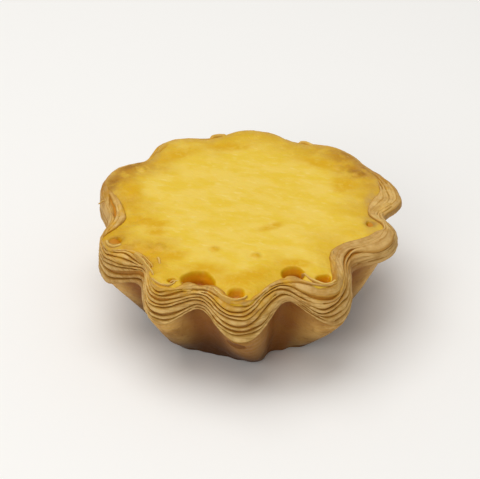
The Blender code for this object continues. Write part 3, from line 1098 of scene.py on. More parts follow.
@dataclass
class LooseLeaves:
    """The flakes, curls and blisters that stand free of the rim.

    Attributes:
        outline: The outline, whose rim they stand on.
        spacing: Distance between the points along a flake.
        taper: Length over which a flake's ends thin out and sink.
        smoothing: How many times a flake's path is smoothed.
        surface: The flakes' section and unevenness.
    """

    outline: Outline
    spacing: float = 0.2
    taper: float = 1.4
    smoothing: int = 24
    surface: LeafSurface = LeafSurface(20, (2.0, 0.09), (0.7, 0.03), (0.4, 0.0), 80)

    def ring(self, number: int, flake: Flake) -> bpy.types.Object:
        """Makes the line along a flake's edge, with the vectors that give it its section.

        Args:
            number: The flake's number.
            flake: The flake.

        Returns:
            An open line with its vectors and marks as attributes of its points.
        """
        corners = np.array([ring_points(r, 0.0, np.array([a]))[0, :2] for a, r in flake.path])
        gone = np.concatenate([[0.0], np.cumsum(np.hypot(*np.diff(corners, axis=0).T))])
        at = np.linspace(0.0, gone[-1], round(gone[-1] / self.spacing))
        flat = np.column_stack([np.interp(at, gone, corners[:, axis]) for axis in (0, 1)])
        for _ in range(self.smoothing):
            flat[1:-1] = 0.25 * flat[:-2] + 0.5 * flat[1:-1] + 0.25 * flat[2:]
        angles = np.degrees(np.arctan2(flat[:, 1], flat[:, 0]))
        ease = smooth(0.0, self.taper, at) * smooth(0.0, self.taper, gone[-1] - at)
        height = self.outline.rim(angles) + flake.high - 0.9 * (1.0 - ease)
        height = height + 0.25 * Lumps(90 + number).layered(np.column_stack([flat, height]), 2.4)
        run = np.gradient(flat, axis=0)
        run = run / np.hypot(*run.T)[:, None]
        side = np.column_stack([run[:, 1], -run[:, 0], 0.0 * at])
        half = 0.5 * flake.thick * (0.35 + 0.65 * ease)
        up = np.column_stack([0.0 * at, 0.0 * at, 1.0 + 0.0 * at])
        vectors = {
            "tip": up * half[:, None],
            "root": -up * flake.deep,
            "above": -side * half[:, None],
            "below": side * half[:, None],
        }
        same = {Mark.LEAF: 0.1, Mark.LIE: 3.0 * number, Mark.STAIN: flake.stain}
        same |= {Mark.TOAST: 0.0, Mark.BARE: 1.0}
        marks = {Mark.HALF: half} | {mark: np.full(len(at), value) for mark, value in same.items()}
        points = np.column_stack([flat, height - half])
        return vector_line(f"flake_{number + 1:02d}", points, vectors, marks, closed=False)

    def build(self, finish: bpy.types.Material) -> list[bpy.types.Object]:
        """Makes every flake.

        Args:
            finish: The flakes' material.

        Returns:
            One closed piece for each flake.
        """
        tree = LeafTree().tree
        flakes = [self.ring(number, flake) for number, flake in enumerate(FLAKES)]
        for number, flake in enumerate(flakes):
            self.surface.shape(flake, tree, number, finish)
        return flakes


# ---------------------------------------------------------------------------------------------
# The wall under the leaves
# ---------------------------------------------------------------------------------------------


@dataclass(frozen=True)
class Tear:
    """A place on the wall where the outermost sheet has blistered and torn open."""

    angle: float
    height: float
    along: float  # half its length round the wall
    up: float  # half its height

    def inside(self, points: Array, angles: Array) -> Array:
        """How far points lie inside the tear, which has a ragged edge.

        Args:
            points: Points in millimetres, one row each.
            angles: Their angles in degrees.

        Returns:
            The share at each point, from 0 to 1.
        """
        along = np.radians(turned(angles, self.angle)) * np.hypot(*points[:, :2].T) / self.along
        up = (points[:, 2] - self.height) / self.up
        ragged = 0.22 * Lumps(52).layered(points, 1.6)
        return 1.0 - smooth(0.55, 1.1, np.hypot(along, up) + ragged)


TEARS = (Tear(266.4, 15.9, 3.3, 2.1), Tear(231.5, 10.5, 1.0, 0.7), Tear(308.0, 12.0, 1.4, 0.8))


@dataclass
class ShellWall:
    """The pastry that the tin has shaped: the foot, the fluted wall, and what lies behind the leaves.

    Attributes:
        outline: The outline that the wall follows.
        columns: Points round the wall.
        rows: Rings up the outside of the wall.
        inner_rows: Rings behind the leaves.
        backing: How far the wall lies behind the band's surface.
        cavity_inset: How far the cavity's edge lies inside the crest and below the rim.
        cavity_floor: Height of the cavity's floor.
        cavity_radius: Radius of the cavity's floor.
        craggy: How far the crags at the foot stand out.
        lumpy: How far the broad lumps of the wall stand out, and the small ones.
        torn_depth: How deep the tears are.
        torn_lip: How far a tear's edge stands out.
        crease: Depth of the last lines between the leaves, which fade down the wall.
        crease_spacing: Distance between them.
    """

    outline: Outline
    columns: int = 720
    rows: int = 64
    inner_rows: int = 26
    backing: float = 0.75
    cavity_inset: float = 2.0
    cavity_floor: float = 4.0
    cavity_radius: float = 20.0
    craggy: float = 1.0
    lumpy: tuple[float, float] = (0.42, 0.1)
    torn_depth: float = 0.5
    torn_lip: float = 0.35
    crease: float = 0.4
    crease_spacing: float = 1.9

    def wall_ring(self, share: float) -> tuple[Array, Array]:
        """Makes one ring of the outer wall.

        Args:
            share: 0 at the foot and 1 under the band of leaves.

        Returns:
            The ring's points, and how far each is torn or creased, from 0 to 1.
        """
        angles = ring_angles(self.columns)
        near = self.outline.nearness(angles)[2]
        radius, height, leaning = self.outline.wall(angles, share)
        points = ring_points(radius, height, leaning)
        torn = np.max([tear.inside(points, leaning) for tear in TEARS], axis=0)
        relief, lines = self.relief(points, near, share)
        relief = relief - self.torn_depth * torn + self.torn_lip * hump(torn, 0.35, 0.25) * (torn > 0.0)
        outwards = ring_points(1.0, 0.0, leaning)
        # Half a crease's share goes into the torn mark, which paints shade in the crease.
        return points + relief[:, None] * outwards, np.maximum(torn, 0.5 * lines)

    def relief(self, points: Array, near: Array, share: float) -> tuple[Array, Array]:
        """How far the wall's surface stands out: lumps, crags at the foot, and creases.

        Args:
            points: The ring's points.
            near: How near each point is to the middle of a lobe.
            share: 0 at the foot and 1 under the band of leaves.

        Returns:
            Distance outwards at each point, and how far each lies in a crease, from 0 to 1.
        """
        lumps = Lumps(50)
        broad, small = self.lumpy
        soft = broad * lumps.layered(points * [1.0, 1.0, 0.45], 8.0, 2) + small * lumps.layered(points, 2.2)
        level = points[:, 2] + 1.1 * lumps.layered(points * [1.0, 1.0, 0.2], 11.0)
        fading = smooth(0.45, 0.95, share) * (0.12 + 0.88 * near**1.5)
        lines = (1.0 - np.abs(np.sin(level * math.pi / self.crease_spacing)) ** 0.6) * fading
        crags = self.crags(points) * smooth(0.5, 0.0, share)
        return soft * smooth(0.0, 0.15, share) + crags - self.crease * lines, lines

    def crags(self, points: Array) -> Array:
        """How far the foot's crags stand out."""
        return self.craggy * Lumps(53).layered(points * [1.0, 1.0, 0.3], 4.5, 2)

    def foot_rings(self, angles: Array) -> list[Array]:
        """Makes the rings from the flat of the foot round its edge.

        Args:
            angles: Angles in degrees.

        Returns:
            The points of each ring, from the lowest up.
        """
        foot, rounding, leaning = self.outline.wall(angles, 0.0)
        foot = foot + self.crags(ring_points(foot, rounding, leaning))
        rings = []
        for turn in np.radians([0.0, 30.0, 60.0]):
            reach, rise = rounding * (1.0 - math.sin(turn)), rounding * (1.0 - math.cos(turn))
            rings.append(ring_points(foot - reach, rise, leaning))
        return rings

    def inner_rings(self, angles: Array) -> list[Array]:
        """Makes the rings behind the leaves and down the cavity.

        Args:
            angles: Angles in degrees.

        Returns:
            The points of each ring, up behind the leaves and then down to the cavity's floor.
        """
        rings, rough = [], Lumps(51)
        for share in np.linspace(1.0, 0.0, self.inner_rows):
            points, out, _, _ = self.outline.band_frame(angles, np.full(self.columns, share))
            depth = self.backing + 0.25 * rough.layered(points, 2.5)
            rings.append(points - out * depth[:, None])
        edge = self.outline.crest(angles) - self.cavity_inset
        top = self.outline.rim(angles) - self.cavity_inset
        for share in (0.0, 0.15, 0.4, 1.0):
            radius = edge + (self.cavity_radius - edge) * share
            rings.append(ring_points(radius, top + (self.cavity_floor - top) * share, angles))
        return rings

    def build(self, finish: bpy.types.Material) -> bpy.types.Object:
        """Makes the wall.

        Args:
            finish: The wall's material.

        Returns:
            The closed piece.
        """
        angles = ring_angles(self.columns)
        foot, inner = self.foot_rings(angles), self.inner_rings(angles)
        wall = [self.wall_ring(share) for share in np.linspace(0.0, 1.0, self.rows)]
        rings = [*foot, *(points for points, _ in wall), *inner]
        nothing, whole = np.zeros(self.columns), np.ones(self.columns)
        outer = len(foot) + len(wall)
        # Painted shade: the front lobe's flank at 268° is held nearer the hollows' darker colour.
        lobe = self.outline.nearness(angles)[2] - 0.62 * around(angles, 268.0, 8.0)
        # Less of the foot's browning and painted shade in the hollow at 289°.
        browned = 1.0 - 0.62 * around(angles, 289.0, 13.0)
        marks = {
            Mark.BEHIND: [nothing] * outer + [whole] * len(inner),
            Mark.TORN: [nothing] * len(foot) + [torn for _, torn in wall] + [nothing] * len(inner),
            Mark.LOBE: [lobe] * len(rings),
            Mark.BROWNED: [browned] * len(rings),
        }
        piece = grid_mesh("pastry_wall", rings, marks)
        piece.data.materials.append(finish)
        return piece


# ---------------------------------------------------------------------------------------------
# The custard
# ---------------------------------------------------------------------------------------------


@dataclass(frozen=True)
class Spot:
    """An oval place on the custard, which may be bent like a crescent."""

    x: float
    y: float
    along: float  # half its length
    across: float  # half its width
    turn: float = 0.0  # degrees from the X axis to its length
    bend: float = 0.0  # how far its ends lie towards the front

    def reach(self, points: Array, inner: float = 1.0, outer: float = 1.0) -> Array:
        """Measures how far out points lie: 0 in the middle and 1 at the oval's edge.

        Args:
            points: Points in millimetres, one row each.
            inner: How much wider the half away from the rim is.
            outer: How much wider the half by the rim is.

        Returns:
            The measure at each point.
        """
        turn = math.radians(self.turn)
        x, y = points[:, 0] - self.x, points[:, 1] - self.y
        along = (x * math.cos(turn) + y * math.sin(turn)) / self.along
        across = (y * math.cos(turn) - x * math.sin(turn) + self.bend * along**2) / self.across
        return np.hypot(along, across / np.where(across > 0.0, inner, outer))


@dataclass(frozen=True)
class Blister:
    """A bubble that has set on the custard's top."""

    x: float
    y: float
    radius: float
    high: float

    def rise(self, points: Array) -> Array:
        """How far it lifts the custard, which sinks a little all round it."""
        away = np.hypot(points[:, 0] - self.x, points[:, 1] - self.y) / self.radius
        return self.high * (np.exp(-2.0 * away**2) - 0.35 * np.exp(-6.0 * (away - 1.3) ** 2))


# Where the custard has shrunk from the pastry, each with its depth.
POCKETS = (
    (Spot(-12.2, -31.9, 5.0, 2.3, -17.0, 2.2), 3.8),
    (Spot(-2.5, -39.0, 2.4, 1.9, -8.0), 2.2),
    (Spot(13.2, -29.6, 3.4, 1.9, -16.0, 0.9), 2.9),
    (Spot(21.0, -32.4, 2.3, 1.3, 14.0, -0.9), 2.4),
    (Spot(-35.9, -14.9, 1.9, 1.3, 0.0), 2.0),
    (Spot(34.7, -7.9, 1.0, 1.2, 0.0), 1.2),
    (Spot(-19.6, -33.2, 1.3, 0.7, 10.0), 1.4),
)
# Where the custard is a dry film on the pastry, where it is rich in colour, and where the oven has
# caught it.
BARE_SPOTS = (
    Spot(-37.6, -16.4, 3.0, 2.6),
    Spot(36.2, -6.5, 3.2, 6.0, -10.0),
    Spot(36.6, 4.0, 3.0, 5.0),
    Spot(-37.0, 1.0, 1.8, 5.5, 5.0),
)
RICH_SPOTS = (
    Spot(-25.0, -7.5, 4.5, 2.6, 10.0),
    Spot(-20.5, -22.5, 5.0, 2.6, 10.0),
    Spot(7.0, -9.0, 4.5, 1.6, 25.0),
    Spot(2.8, -22.6, 1.6, 1.3),
    Spot(-26.2, -20.4, 5.5, 3.0, -20.0),
    Spot(-10.9, -28.3, 6.5, 2.4, -8.0),
    Spot(-2.3, -33.8, 5.0, 3.4),
    Spot(2.0, -31.5, 5.5, 3.6, 20.0),
    Spot(13.4, -26.0, 4.5, 2.2, -8.0),
    Spot(-32.7, 10.0, 3.2, 4.6, 20.0),
    Spot(-28.5, -5.6, 6.5, 2.8, -12.0),
    Spot(-24.6, -11.3, 3.2, 2.6),
    Spot(29.0, 12.0, 5.5, 4.6, -30.0),
    Spot(22.0, 24.0, 7.5, 3.2, -25.0),
    Spot(-20.0, 29.0, 8.0, 3.0, 25.0),
    Spot(-5.0, 33.5, 8.0, 2.4),
    Spot(-8.5, -19.5, 1.8, 1.6),
)
SCORCHED_SPOTS = (
    Spot(-33.0, 23.2, 4.6, 1.8, 38.0),
    Spot(-39.0, 13.0, 5.0, 2.2, 72.0),
    Spot(36.2, 21.5, 7.5, 2.2, -54.0),
    Spot(31.6, 28.0, 5.0, 1.5, -40.0),
    Spot(33.0, 19.0, 3.0, 1.4, -20.0),
    Spot(34.7, -7.9, 1.9, 2.0),
    Spot(-35.5, -14.5, 2.7, 2.2),
)


@dataclass
class MangoCustard:
    """The filling: a baked custard that stands level with the rim.

    Attributes:
        outline: The outline that the custard's edge follows.
        columns: Points round the custard.
        dome: How far the middle stands over the rim.
        edge_drop: How far the edge lies below the rim, except along the back.
        lap: How far the custard laps over the innermost leaf.
        run_out: How far it has run out over the band along the back, as a share of the band.
        film: Its thickness there.
        underside: How far its underside lies below the rim.
        span: The edge's radius that the steps in from the edge are counted for.
        fine_steps: Start, end and length of the fine steps in from the edge.
        coarse_steps: The same for the coarse steps, further in.
        deepest: Depth of a pocket whose floor takes the full dark colour, partly painted shade.
        blisters: The bubbles that stand out.
    """

    outline: Outline
    columns: int = 720
    dome: float = 0.5
    edge_drop: float = 0.75
    lap: float = 0.5
    run_out: float = 0.42
    film: float = 0.3
    underside: float = 7.0
    span: float = 42.0
    fine_steps: tuple[float, float, float] = (0.0, 9.0, 0.24)
    coarse_steps: tuple[float, float, float] = (9.0, 37.0, 0.6)
    deepest: float = 2.9
    blisters: tuple[Blister, ...] = (
        Blister(2.8, -22.6, 1.5, 0.4),
        Blister(-30.5, 20.9, 1.2, 0.4),
        Blister(27.4, 21.6, 1.6, 0.35),
        Blister(33.0, 19.0, 1.7, 0.5),
        Blister(-23.5, -18.0, 1.6, 0.3),
        Blister(-31.0, -3.0, 1.8, 0.35),
        Blister(-8.6, -19.4, 1.1, 0.3),
    )

    def edge(self, angles: Array) -> Array:
        """Finds the custard's edge, which laps unevenly over the leaves and has run out at the back.

        Args:
            angles: Angles in degrees.

        Returns:
            The edge's radius at each angle.
        """
        turns, place, _ = np.array(GAP_LINES[0]).T
        uneven = Lumps(70).layered(ring_points(self.outline.crest(angles), 0.0 * angles, angles), 6.0)
        inner = self.outline.band(angles, np.interp(angles, turns, place, period=360.0))[0]
        inner = inner + self.lap * (0.3 + uneven)
        outer = self.outline.band(angles, np.clip(self.run_out + 0.3 * uneven, 0.05, 0.8))[0]
        return inner + (outer - inner) * self.outline.behind(angles)

    def pocket_depth(self, points: Array) -> tuple[Array, Array]:
        """How deep the pockets are at each point.

        Args:
            points: Points in millimetres, one row each.

        Returns:
            The share of the deepest pocket's depth, from 0 to 1, and the depth in millimetres.
        """
        share, depth = np.zeros(len(points)), np.zeros(len(points))
        wobble = 0.16 * Lumps(71).layered(points, 2.6)
        for pocket, deep in POCKETS:
            by_rim = 1.8 if pocket.y < -25.0 else 1.0  # those at the front are open towards the rim
            inside = 1.0 - smooth(0.5, 1.08, pocket.reach(points, 1.25, by_rim) + wobble)
            share = np.maximum(share, inside * min(1.0, deep / self.deepest))
            depth = np.maximum(depth, inside * deep)
        return share, depth

    def patches(self, points: Array, spots: tuple[Spot, ...]) -> Array:
        """How much each point lies in some spots, from 0 to 1, with soft and uneven edges."""
        wobble = 0.4 * Lumps(75).layered(points, 3.0)
        return np.max([1.0 - smooth(0.2, 1.35, spot.reach(points) + wobble) for spot in spots], axis=0)

    def height(self, angles: Array, radius: Array, edge: Array) -> Array:
        """Finds the height of the custard's top, before its pockets.

        Args:
            angles: Angles in degrees.
            radius: The points' radius.
            edge: Radius of the custard's edge at each angle.

        Returns:
            Height at each point.
        """
        share = radius / edge
        rim, behind = self.outline.rim(angles), self.outline.behind(angles)
        level = self.outline.rim_height + (rim - self.outline.rim_height) * share**3
        drop = self.edge_drop * (1.0 - behind)
        level = level - drop + (self.dome + drop) * (1.0 - share**8)
        points = ring_points(radius, 0.0 * radius, angles)
        broad = 0.26 * Lumps(72).layered(points, 11.0, 2)
        skin = 0.06 * Lumps(73).layered(points * [0.55, 1.0, 1.0], 1.5)
        left = 1.0 + 0.9 * around(angles, 195.0, 50.0)
        rough = 0.22 * left * Lumps(74).layered(points, 2.6) * smooth(0.7, 0.92, share)
        level = level + broad * (0.35 + 0.65 * smooth(0.3, 0.9, share)) + skin + rough
        level = level + sum(blister.rise(points) for blister in self.blisters)
        leaf_top = self.outline.band(angles, self.outline.share_at(angles, radius))[1]
        film = self.film + 0.5 * rough - (self.film + 0.45) * smooth(1.6, 0.0, edge - radius)
        over_leaves = behind * smooth(3.0, 0.5, edge - radius)
        return level + (leaf_top + film - level) * over_leaves

    def rows(self, angles: Array, edge: Array) -> list[tuple[Array, Array, Array]]:
        """Lays out the custard's rings, up its hidden side and then in over its top.

        Args:
            angles: Angles in degrees.
            edge: Radius of the custard's edge at each angle.

        Returns:
            The radius, the height and the share of the pockets' depth along each ring.
        """
        bottom, nothing = self.outline.rim(angles) - self.underside, np.zeros(self.columns)
        sides = ((0.4, bottom), (0.85, bottom), (0.95, bottom + 0.8))
        rows = [(edge * share, height, nothing) for share, height in sides]
        for step in np.concatenate([np.arange(*self.fine_steps), np.arange(*self.coarse_steps)]):
            radius = edge * (1.0 - step / self.span)
            share, depth = self.pocket_depth(ring_points(radius, 0.0 * radius, angles))
            height = self.height(angles, radius, edge) - depth
            if step == 0.0:
                height = height - 0.5 - 0.4 * self.outline.behind(angles)
            rows.append((radius, height, share))
        return rows

    def colouring(self, angles: Array, inwards: Array, points: Array) -> dict[Mark, Array]:
        """Finds where the custard's colours lie.

        Args:
            angles: Angles in degrees.
            inwards: How far in from the edge each point lies.
            points: The ring's points.

        Returns:
            The share of each colour at each point, from 0 to 1.
        """
        sides = np.maximum(around(angles, 203.0, 62.0), around(angles, 70.0, 78.0))
        golden = 0.45 + 0.55 * np.maximum(sides, 0.75 * around(angles, 272.0, 40.0))
        corners = around(angles, 36.0, 22.0) + around(angles, 153.0, 18.0)
        corners = corners + 0.6 * around(angles, 214.0, 15.0) + 0.3 * around(angles, 199.0, 6.0)
        thin = 0.8 * self.outline.behind(angles) * smooth(4.5, 0.5, inwards)
        return {
            Mark.GOLDEN: golden * smooth(16.0, 1.0, inwards),
            Mark.TOASTED: corners * smooth(14.0, 1.5, inwards),
            Mark.RICH: self.patches(points, RICH_SPOTS),
            Mark.SCORCH: self.patches(points, SCORCHED_SPOTS),
            Mark.FILM: np.maximum(thin, self.patches(points, BARE_SPOTS)),
        }

    def build(self, finish: bpy.types.Material) -> bpy.types.Object:
        """Makes the custard.

        Args:
            finish: The custard's material.

        Returns:
            The closed piece.
        """
        angles = ring_angles(self.columns)
        edge = self.edge(angles)
        rings, rows = [], []
        for radius, height, share in self.rows(angles, edge):
            rings.append(ring_points(radius, height, angles))
            rows.append({Mark.POCKET: share} | self.colouring(angles, edge - radius, rings[-1]))
        marks = {mark: [row[mark] for row in rows] for mark in rows[0]}
        piece = grid_mesh("custard_filling", rings, marks)
        piece.data.materials.append(finish)
        return piece


# ---------------------------------------------------------------------------------------------
# Finishes
# ---------------------------------------------------------------------------------------------


def linear(code: str) -> tuple[float, float, float, float]:
    """Turns an sRGB hex value into the linear colour that shaders take."""
    parts = [int(code[i : i + 2], 16) / 255.0 for i in (1, 3, 5)]
    return (*(c / 12.92 if c <= 0.04045 else ((c + 0.055) / 1.055) ** 2.4 for c in parts), 1.0)


class Paint:
    """A material in the making: a base colour and the layers laid over it, on a Principled shader."""

    LAMINATION_LENGTH_MM = 9.0

    def __init__(self, name: str, base: str, surface: dict[str, Any]) -> None:
        """Starts the material.

        Args:
            name: Its name.
            base: Its base colour, as a hex value.
            surface: The shader's constant values, by socket.
        """
        self.material = bpy.data.materials.new(name)
        self.material.use_nodes = True
        self.tree = self.material.node_tree
        self.add = partial(add_node, self.tree)
        self.shader = self.tree.nodes["Principled BSDF"]
        for socket, value in surface.items():
            self.shader.inputs[socket].default_value = value
        self.place = self.add("ShaderNodeTexCoord").outputs["Object"]
        self.colour: Any = linear(base)

    def cloud(
        self,
        size: float,
        detail: float = 3.0,
        stretch: tuple[float, float, float] = (1.0, 1.0, 1.0),
        turn: float = 0.0,
    ) -> Any:
        """Makes a cloudy pattern.

        Args:
            size: Size of one cloud in millimetres.
            detail: How many finer layers it has.
            stretch: How much tighter it is along X, Y and Z.
            turn: How far the pattern is turned to the left, in degrees.

        Returns:
            The pattern's output, from 0 to 1.
        """
        rotation = (0.0, 0.0, -math.radians(turn))
        upright = self.add("ShaderNodeMapping", links={"Vector": self.place, "Rotation": rotation})
        place = self.add("ShaderNodeMapping", links={"Vector": upright, "Scale": stretch})
        pattern = {"Vector": place, "Scale": 1.0 / (size * MM), "Detail": detail, "Roughness": 0.55}
        return self.add("ShaderNodeTexNoise", links=pattern).outputs["Fac"]

    def laminations(self, thickness: float) -> Any:
        """Makes thin lines that lie along the leaves.

        Args:
            thickness: Thickness of one sheet in millimetres.

        Returns:
            The pattern's output, from 0 to 1.
        """
        place = self.add("ShaderNodeSeparateXYZ", links={"Vector": self.place}).outputs
        length = 1.0 / (self.LAMINATION_LENGTH_MM * MM)
        depth = {0: self.product(Mark.LIE), 1: thickness}
        sheet = self.add("ShaderNodeMath", {"operation": "DIVIDE"}, depth)
        sides = {"X": sheet, "Y": self.product(place["X"], length), "Z": self.product(place["Y"], length)}
        pattern = {"Vector": self.add("ShaderNodeCombineXYZ", links=sides), "Scale": 1.0, "Detail": 2.0}
        return self.add("ShaderNodeTexNoise", links=pattern).outputs["Fac"]

    def product(self, *amounts: Any) -> Any:
        """Multiplies some amounts.

        Args:
            *amounts: Outputs and numbers, and marks that the mesh keeps on its points.

        Returns:
            Their product, as an output.
        """
        total = None
        for amount in amounts:
            if isinstance(amount, Mark):
                amount = self.add("ShaderNodeAttribute", {"attribute_name": amount.value}).outputs["Fac"]
            if total is not None:
                both = {0: total, 1: amount}
                amount = self.add("ShaderNodeMath", {"operation": "MULTIPLY"}, both).outputs[0]
            total = amount
        return total

    def spread(self, pattern: Any, low: float, high: float, bottom: float = 0.0, top: float = 1.0) -> Any:
        """Spreads a pattern's values smoothly.

        Args:
            pattern: The pattern's output, or a mark.
            low: Value that becomes bottom.
            high: Value that becomes top.
            bottom: The result up to low.
            top: The result from high on.

        Returns:
            The new values' output.
        """
        ends = {"From Min": low, "From Max": high, "To Min": bottom, "To Max": top}
        ends["Value"] = self.product(pattern)
        return self.add("ShaderNodeMapRange", {"interpolation_type": "SMOOTHSTEP"}, ends).outputs[0]

    def lay(self, colour: Any, *amounts: Any) -> None:
        """Lays a colour over what is there.

        Args:
            colour: The colour, as a hex value or an output.
            *amounts: How much of it: the product of these outputs, numbers and marks.
        """
        added = linear(colour) if isinstance(colour, str) else colour
        mixed = {0: self.product(*amounts), 6: self.colour, 7: added}
        self.colour = self.add("ShaderNodeMix", {"data_type": "RGBA"}, mixed).outputs[2]

    def finish(self, roughness: Any, *bumps: tuple[Any, float]) -> bpy.types.Material:
        """Feeds the shader.

        Args:
            roughness: The roughness output.
            *bumps: Patterns with their depths in millimetres, each on top of the last.

        Returns:
            The material.
        """
        normal = {}
        for pattern, depth in bumps:
            bump = {"Strength": 1.0, "Distance": depth * MM, "Height": pattern} | normal
            normal = {"Normal": self.add("ShaderNodeBump", links=bump)}
        ends = {"Base Color": self.colour, "Roughness": roughness, "Normal": normal["Normal"].outputs[0]}
        for socket, value in ends.items():
            self.tree.links.new(value, self.shader.inputs[socket])
        return self.material


@dataclass(frozen=True)
class BakedLeaf:
    """Puff pastry in thin leaves, baked dry in an oven: pale flaky edges, partly a painted highlight on the
    tips, over browner, buttery gaps, with painted shade in the fine grooves between the sheets.
    """

    name: str = "puff_pastry_leaves_baked"
    # Pale tips: the crisp edges' colour and a painted highlight.
    edge: str = "#dbb672"
    face: str = "#b5842f"
    gap: str = "#ba7d24"
    low: str = "#a9823a"
    custard: str = "#d29c12"
    # Browning, and painted shade low in the hollows and under the lobes.
    toast: str = "#935a1c"
    # Painted shade in the fine grooves between the sheets.
    crease: str = "#94662a"
    bare: str = "#b78d4b"

    def material(self) -> bpy.types.Material:
        """Makes the material.

        Returns:
            The material: flour in clouds of 2.8 mm, sheets 0.42 mm thick, and crumbs of 0.55 mm.
        """
        surface = {"IOR": 1.45, "Specular IOR Level": 0.2, "Subsurface Weight": 0.12}
        surface |= {"Subsurface Scale": 0.001, "Subsurface Radius": (1.0, 0.55, 0.25)}
        paint = Paint(self.name, self.face, surface)
        flour, sheets = paint.cloud(2.8), paint.laminations(0.42)
        paint.lay(self.low, paint.spread(Mark.LEAF, 0.4, 0.95, 0.0, 0.8))
        paint.lay(self.bare, Mark.BARE, 0.8)
        # Paler on the tips: the crisp edges' colour and a painted highlight.
        paint.lay(self.edge, paint.spread(Mark.TIP, 0.62, 1.0), paint.spread(flour, 0.3, 0.62, 0.25, 1.0))
        paint.lay(self.custard, Mark.STAIN, paint.spread(paint.cloud(2.2), 0.3, 0.6, 0.4, 1.0))
        # Browning, with painted shade low in the hollows and under the lobes.
        paint.lay(self.toast, Mark.TOAST, 0.7)
        buttery = paint.spread(Mark.BARE, 0.0, 1.0, 1.0, 0.2)
        paint.lay(self.gap, paint.spread(Mark.TIP, 0.55, -0.2), buttery)
        # Painted shade in the fine grooves between the sheets, less on plain leaves.
        creased = paint.spread(Mark.BARE, 0.0, 1.0, 1.0, 0.4)
        paint.lay(self.crease, paint.spread(sheets, 0.55, 0.38, 0.0, 0.4), creased)
        roughness = paint.spread(flour, 0.2, 0.8, 0.55, 0.75)
        return paint.finish(roughness, (sheets, 0.05), (paint.cloud(0.55), 0.06))


# Paler than the leaves: the flakes' own pale colour, and painted light on their shaded upright sides.
PALE_FLAKE = BakedLeaf("puff_pastry_flakes_baked", edge="#debb6c", face="#c9a046", bare="#cda453")


@dataclass(frozen=True)
class BakedWall:
    """Puff pastry pressed in a tin and baked against it: smooth, brown in the hollows and darkest low down,
    from browning and from painted shade, with painted shade in its creases.
    """

    lobe: str = "#cfa153"
    # The hollows' colour: the pastry's browning and painted shade.
    hollow: str = "#8c561c"
    # Browning from the tin and painted contact shade at the foot.
    foot: str = "#472708"
    gap: str = "#c2801c"
    low_gap: str = "#a87838"
    blush: str = "#936125"
    grain: str = "#6c4217"
    # The tears' insides, and painted shade in the creases.
    torn: str = "#74450f"

    def material(self) -> bpy.types.Material:
        """Makes the material.

        Returns:
            The material: browning in clouds of 6 mm, a grain of 1.1 mm, and crumbs of 0.9 mm.
        """
        surface = {"IOR": 1.45, "Specular IOR Level": 0.22}
        surface |= {"Subsurface Weight": 0.05, "Subsurface Scale": 0.001}
        paint = Paint("puff_pastry_wall_baked", self.hollow, surface)
        height = paint.add("ShaderNodeSeparateXYZ", links={"Vector": paint.place}).outputs["Z"]
        cloud, grain = paint.cloud(6.0, 4.0), paint.cloud(1.1, 3.0, (1.0, 1.0, 0.5))
        # Lighter on the lobes than in the hollows: the pastry's tones, and painted shade in the hollows.
        clouded = {0: cloud, 1: 0.45, 2: paint.product(Mark.LOBE)}
        lobe = paint.add("ShaderNodeMath", {"operation": "MULTIPLY_ADD"}, clouded).outputs[0]
        paint.lay(self.lobe, paint.spread(lobe, 0.34, 1.05))
        paint.lay(self.blush, paint.spread(cloud, 0.42, 0.68, 0.0, 0.7))
        # Darker towards the foot: browning from the tin and painted contact shade.
        paint.lay(self.foot, paint.spread(height, 19.0 * MM, 2.0 * MM, 0.0, 0.93), Mark.BROWNED)
        paint.lay(self.grain, paint.spread(grain, 0.52, 0.8, 0.0, 0.4))
        # The tears' darker insides, and painted shade in the creases.
        paint.lay(self.torn, paint.spread(Mark.TORN, 0.2, 0.7, 0.0, 0.9))
        gap = {0: paint.spread(height, 23.0 * MM, 29.0 * MM), 6: linear(self.low_gap), 7: linear(self.gap)}
        paint.lay(paint.add("ShaderNodeMix", {"data_type": "RGBA"}, gap).outputs[2], Mark.BEHIND)
        return paint.finish(paint.spread(cloud, 0.3, 0.7, 0.45, 0.65), (paint.cloud(0.9), 0.12))


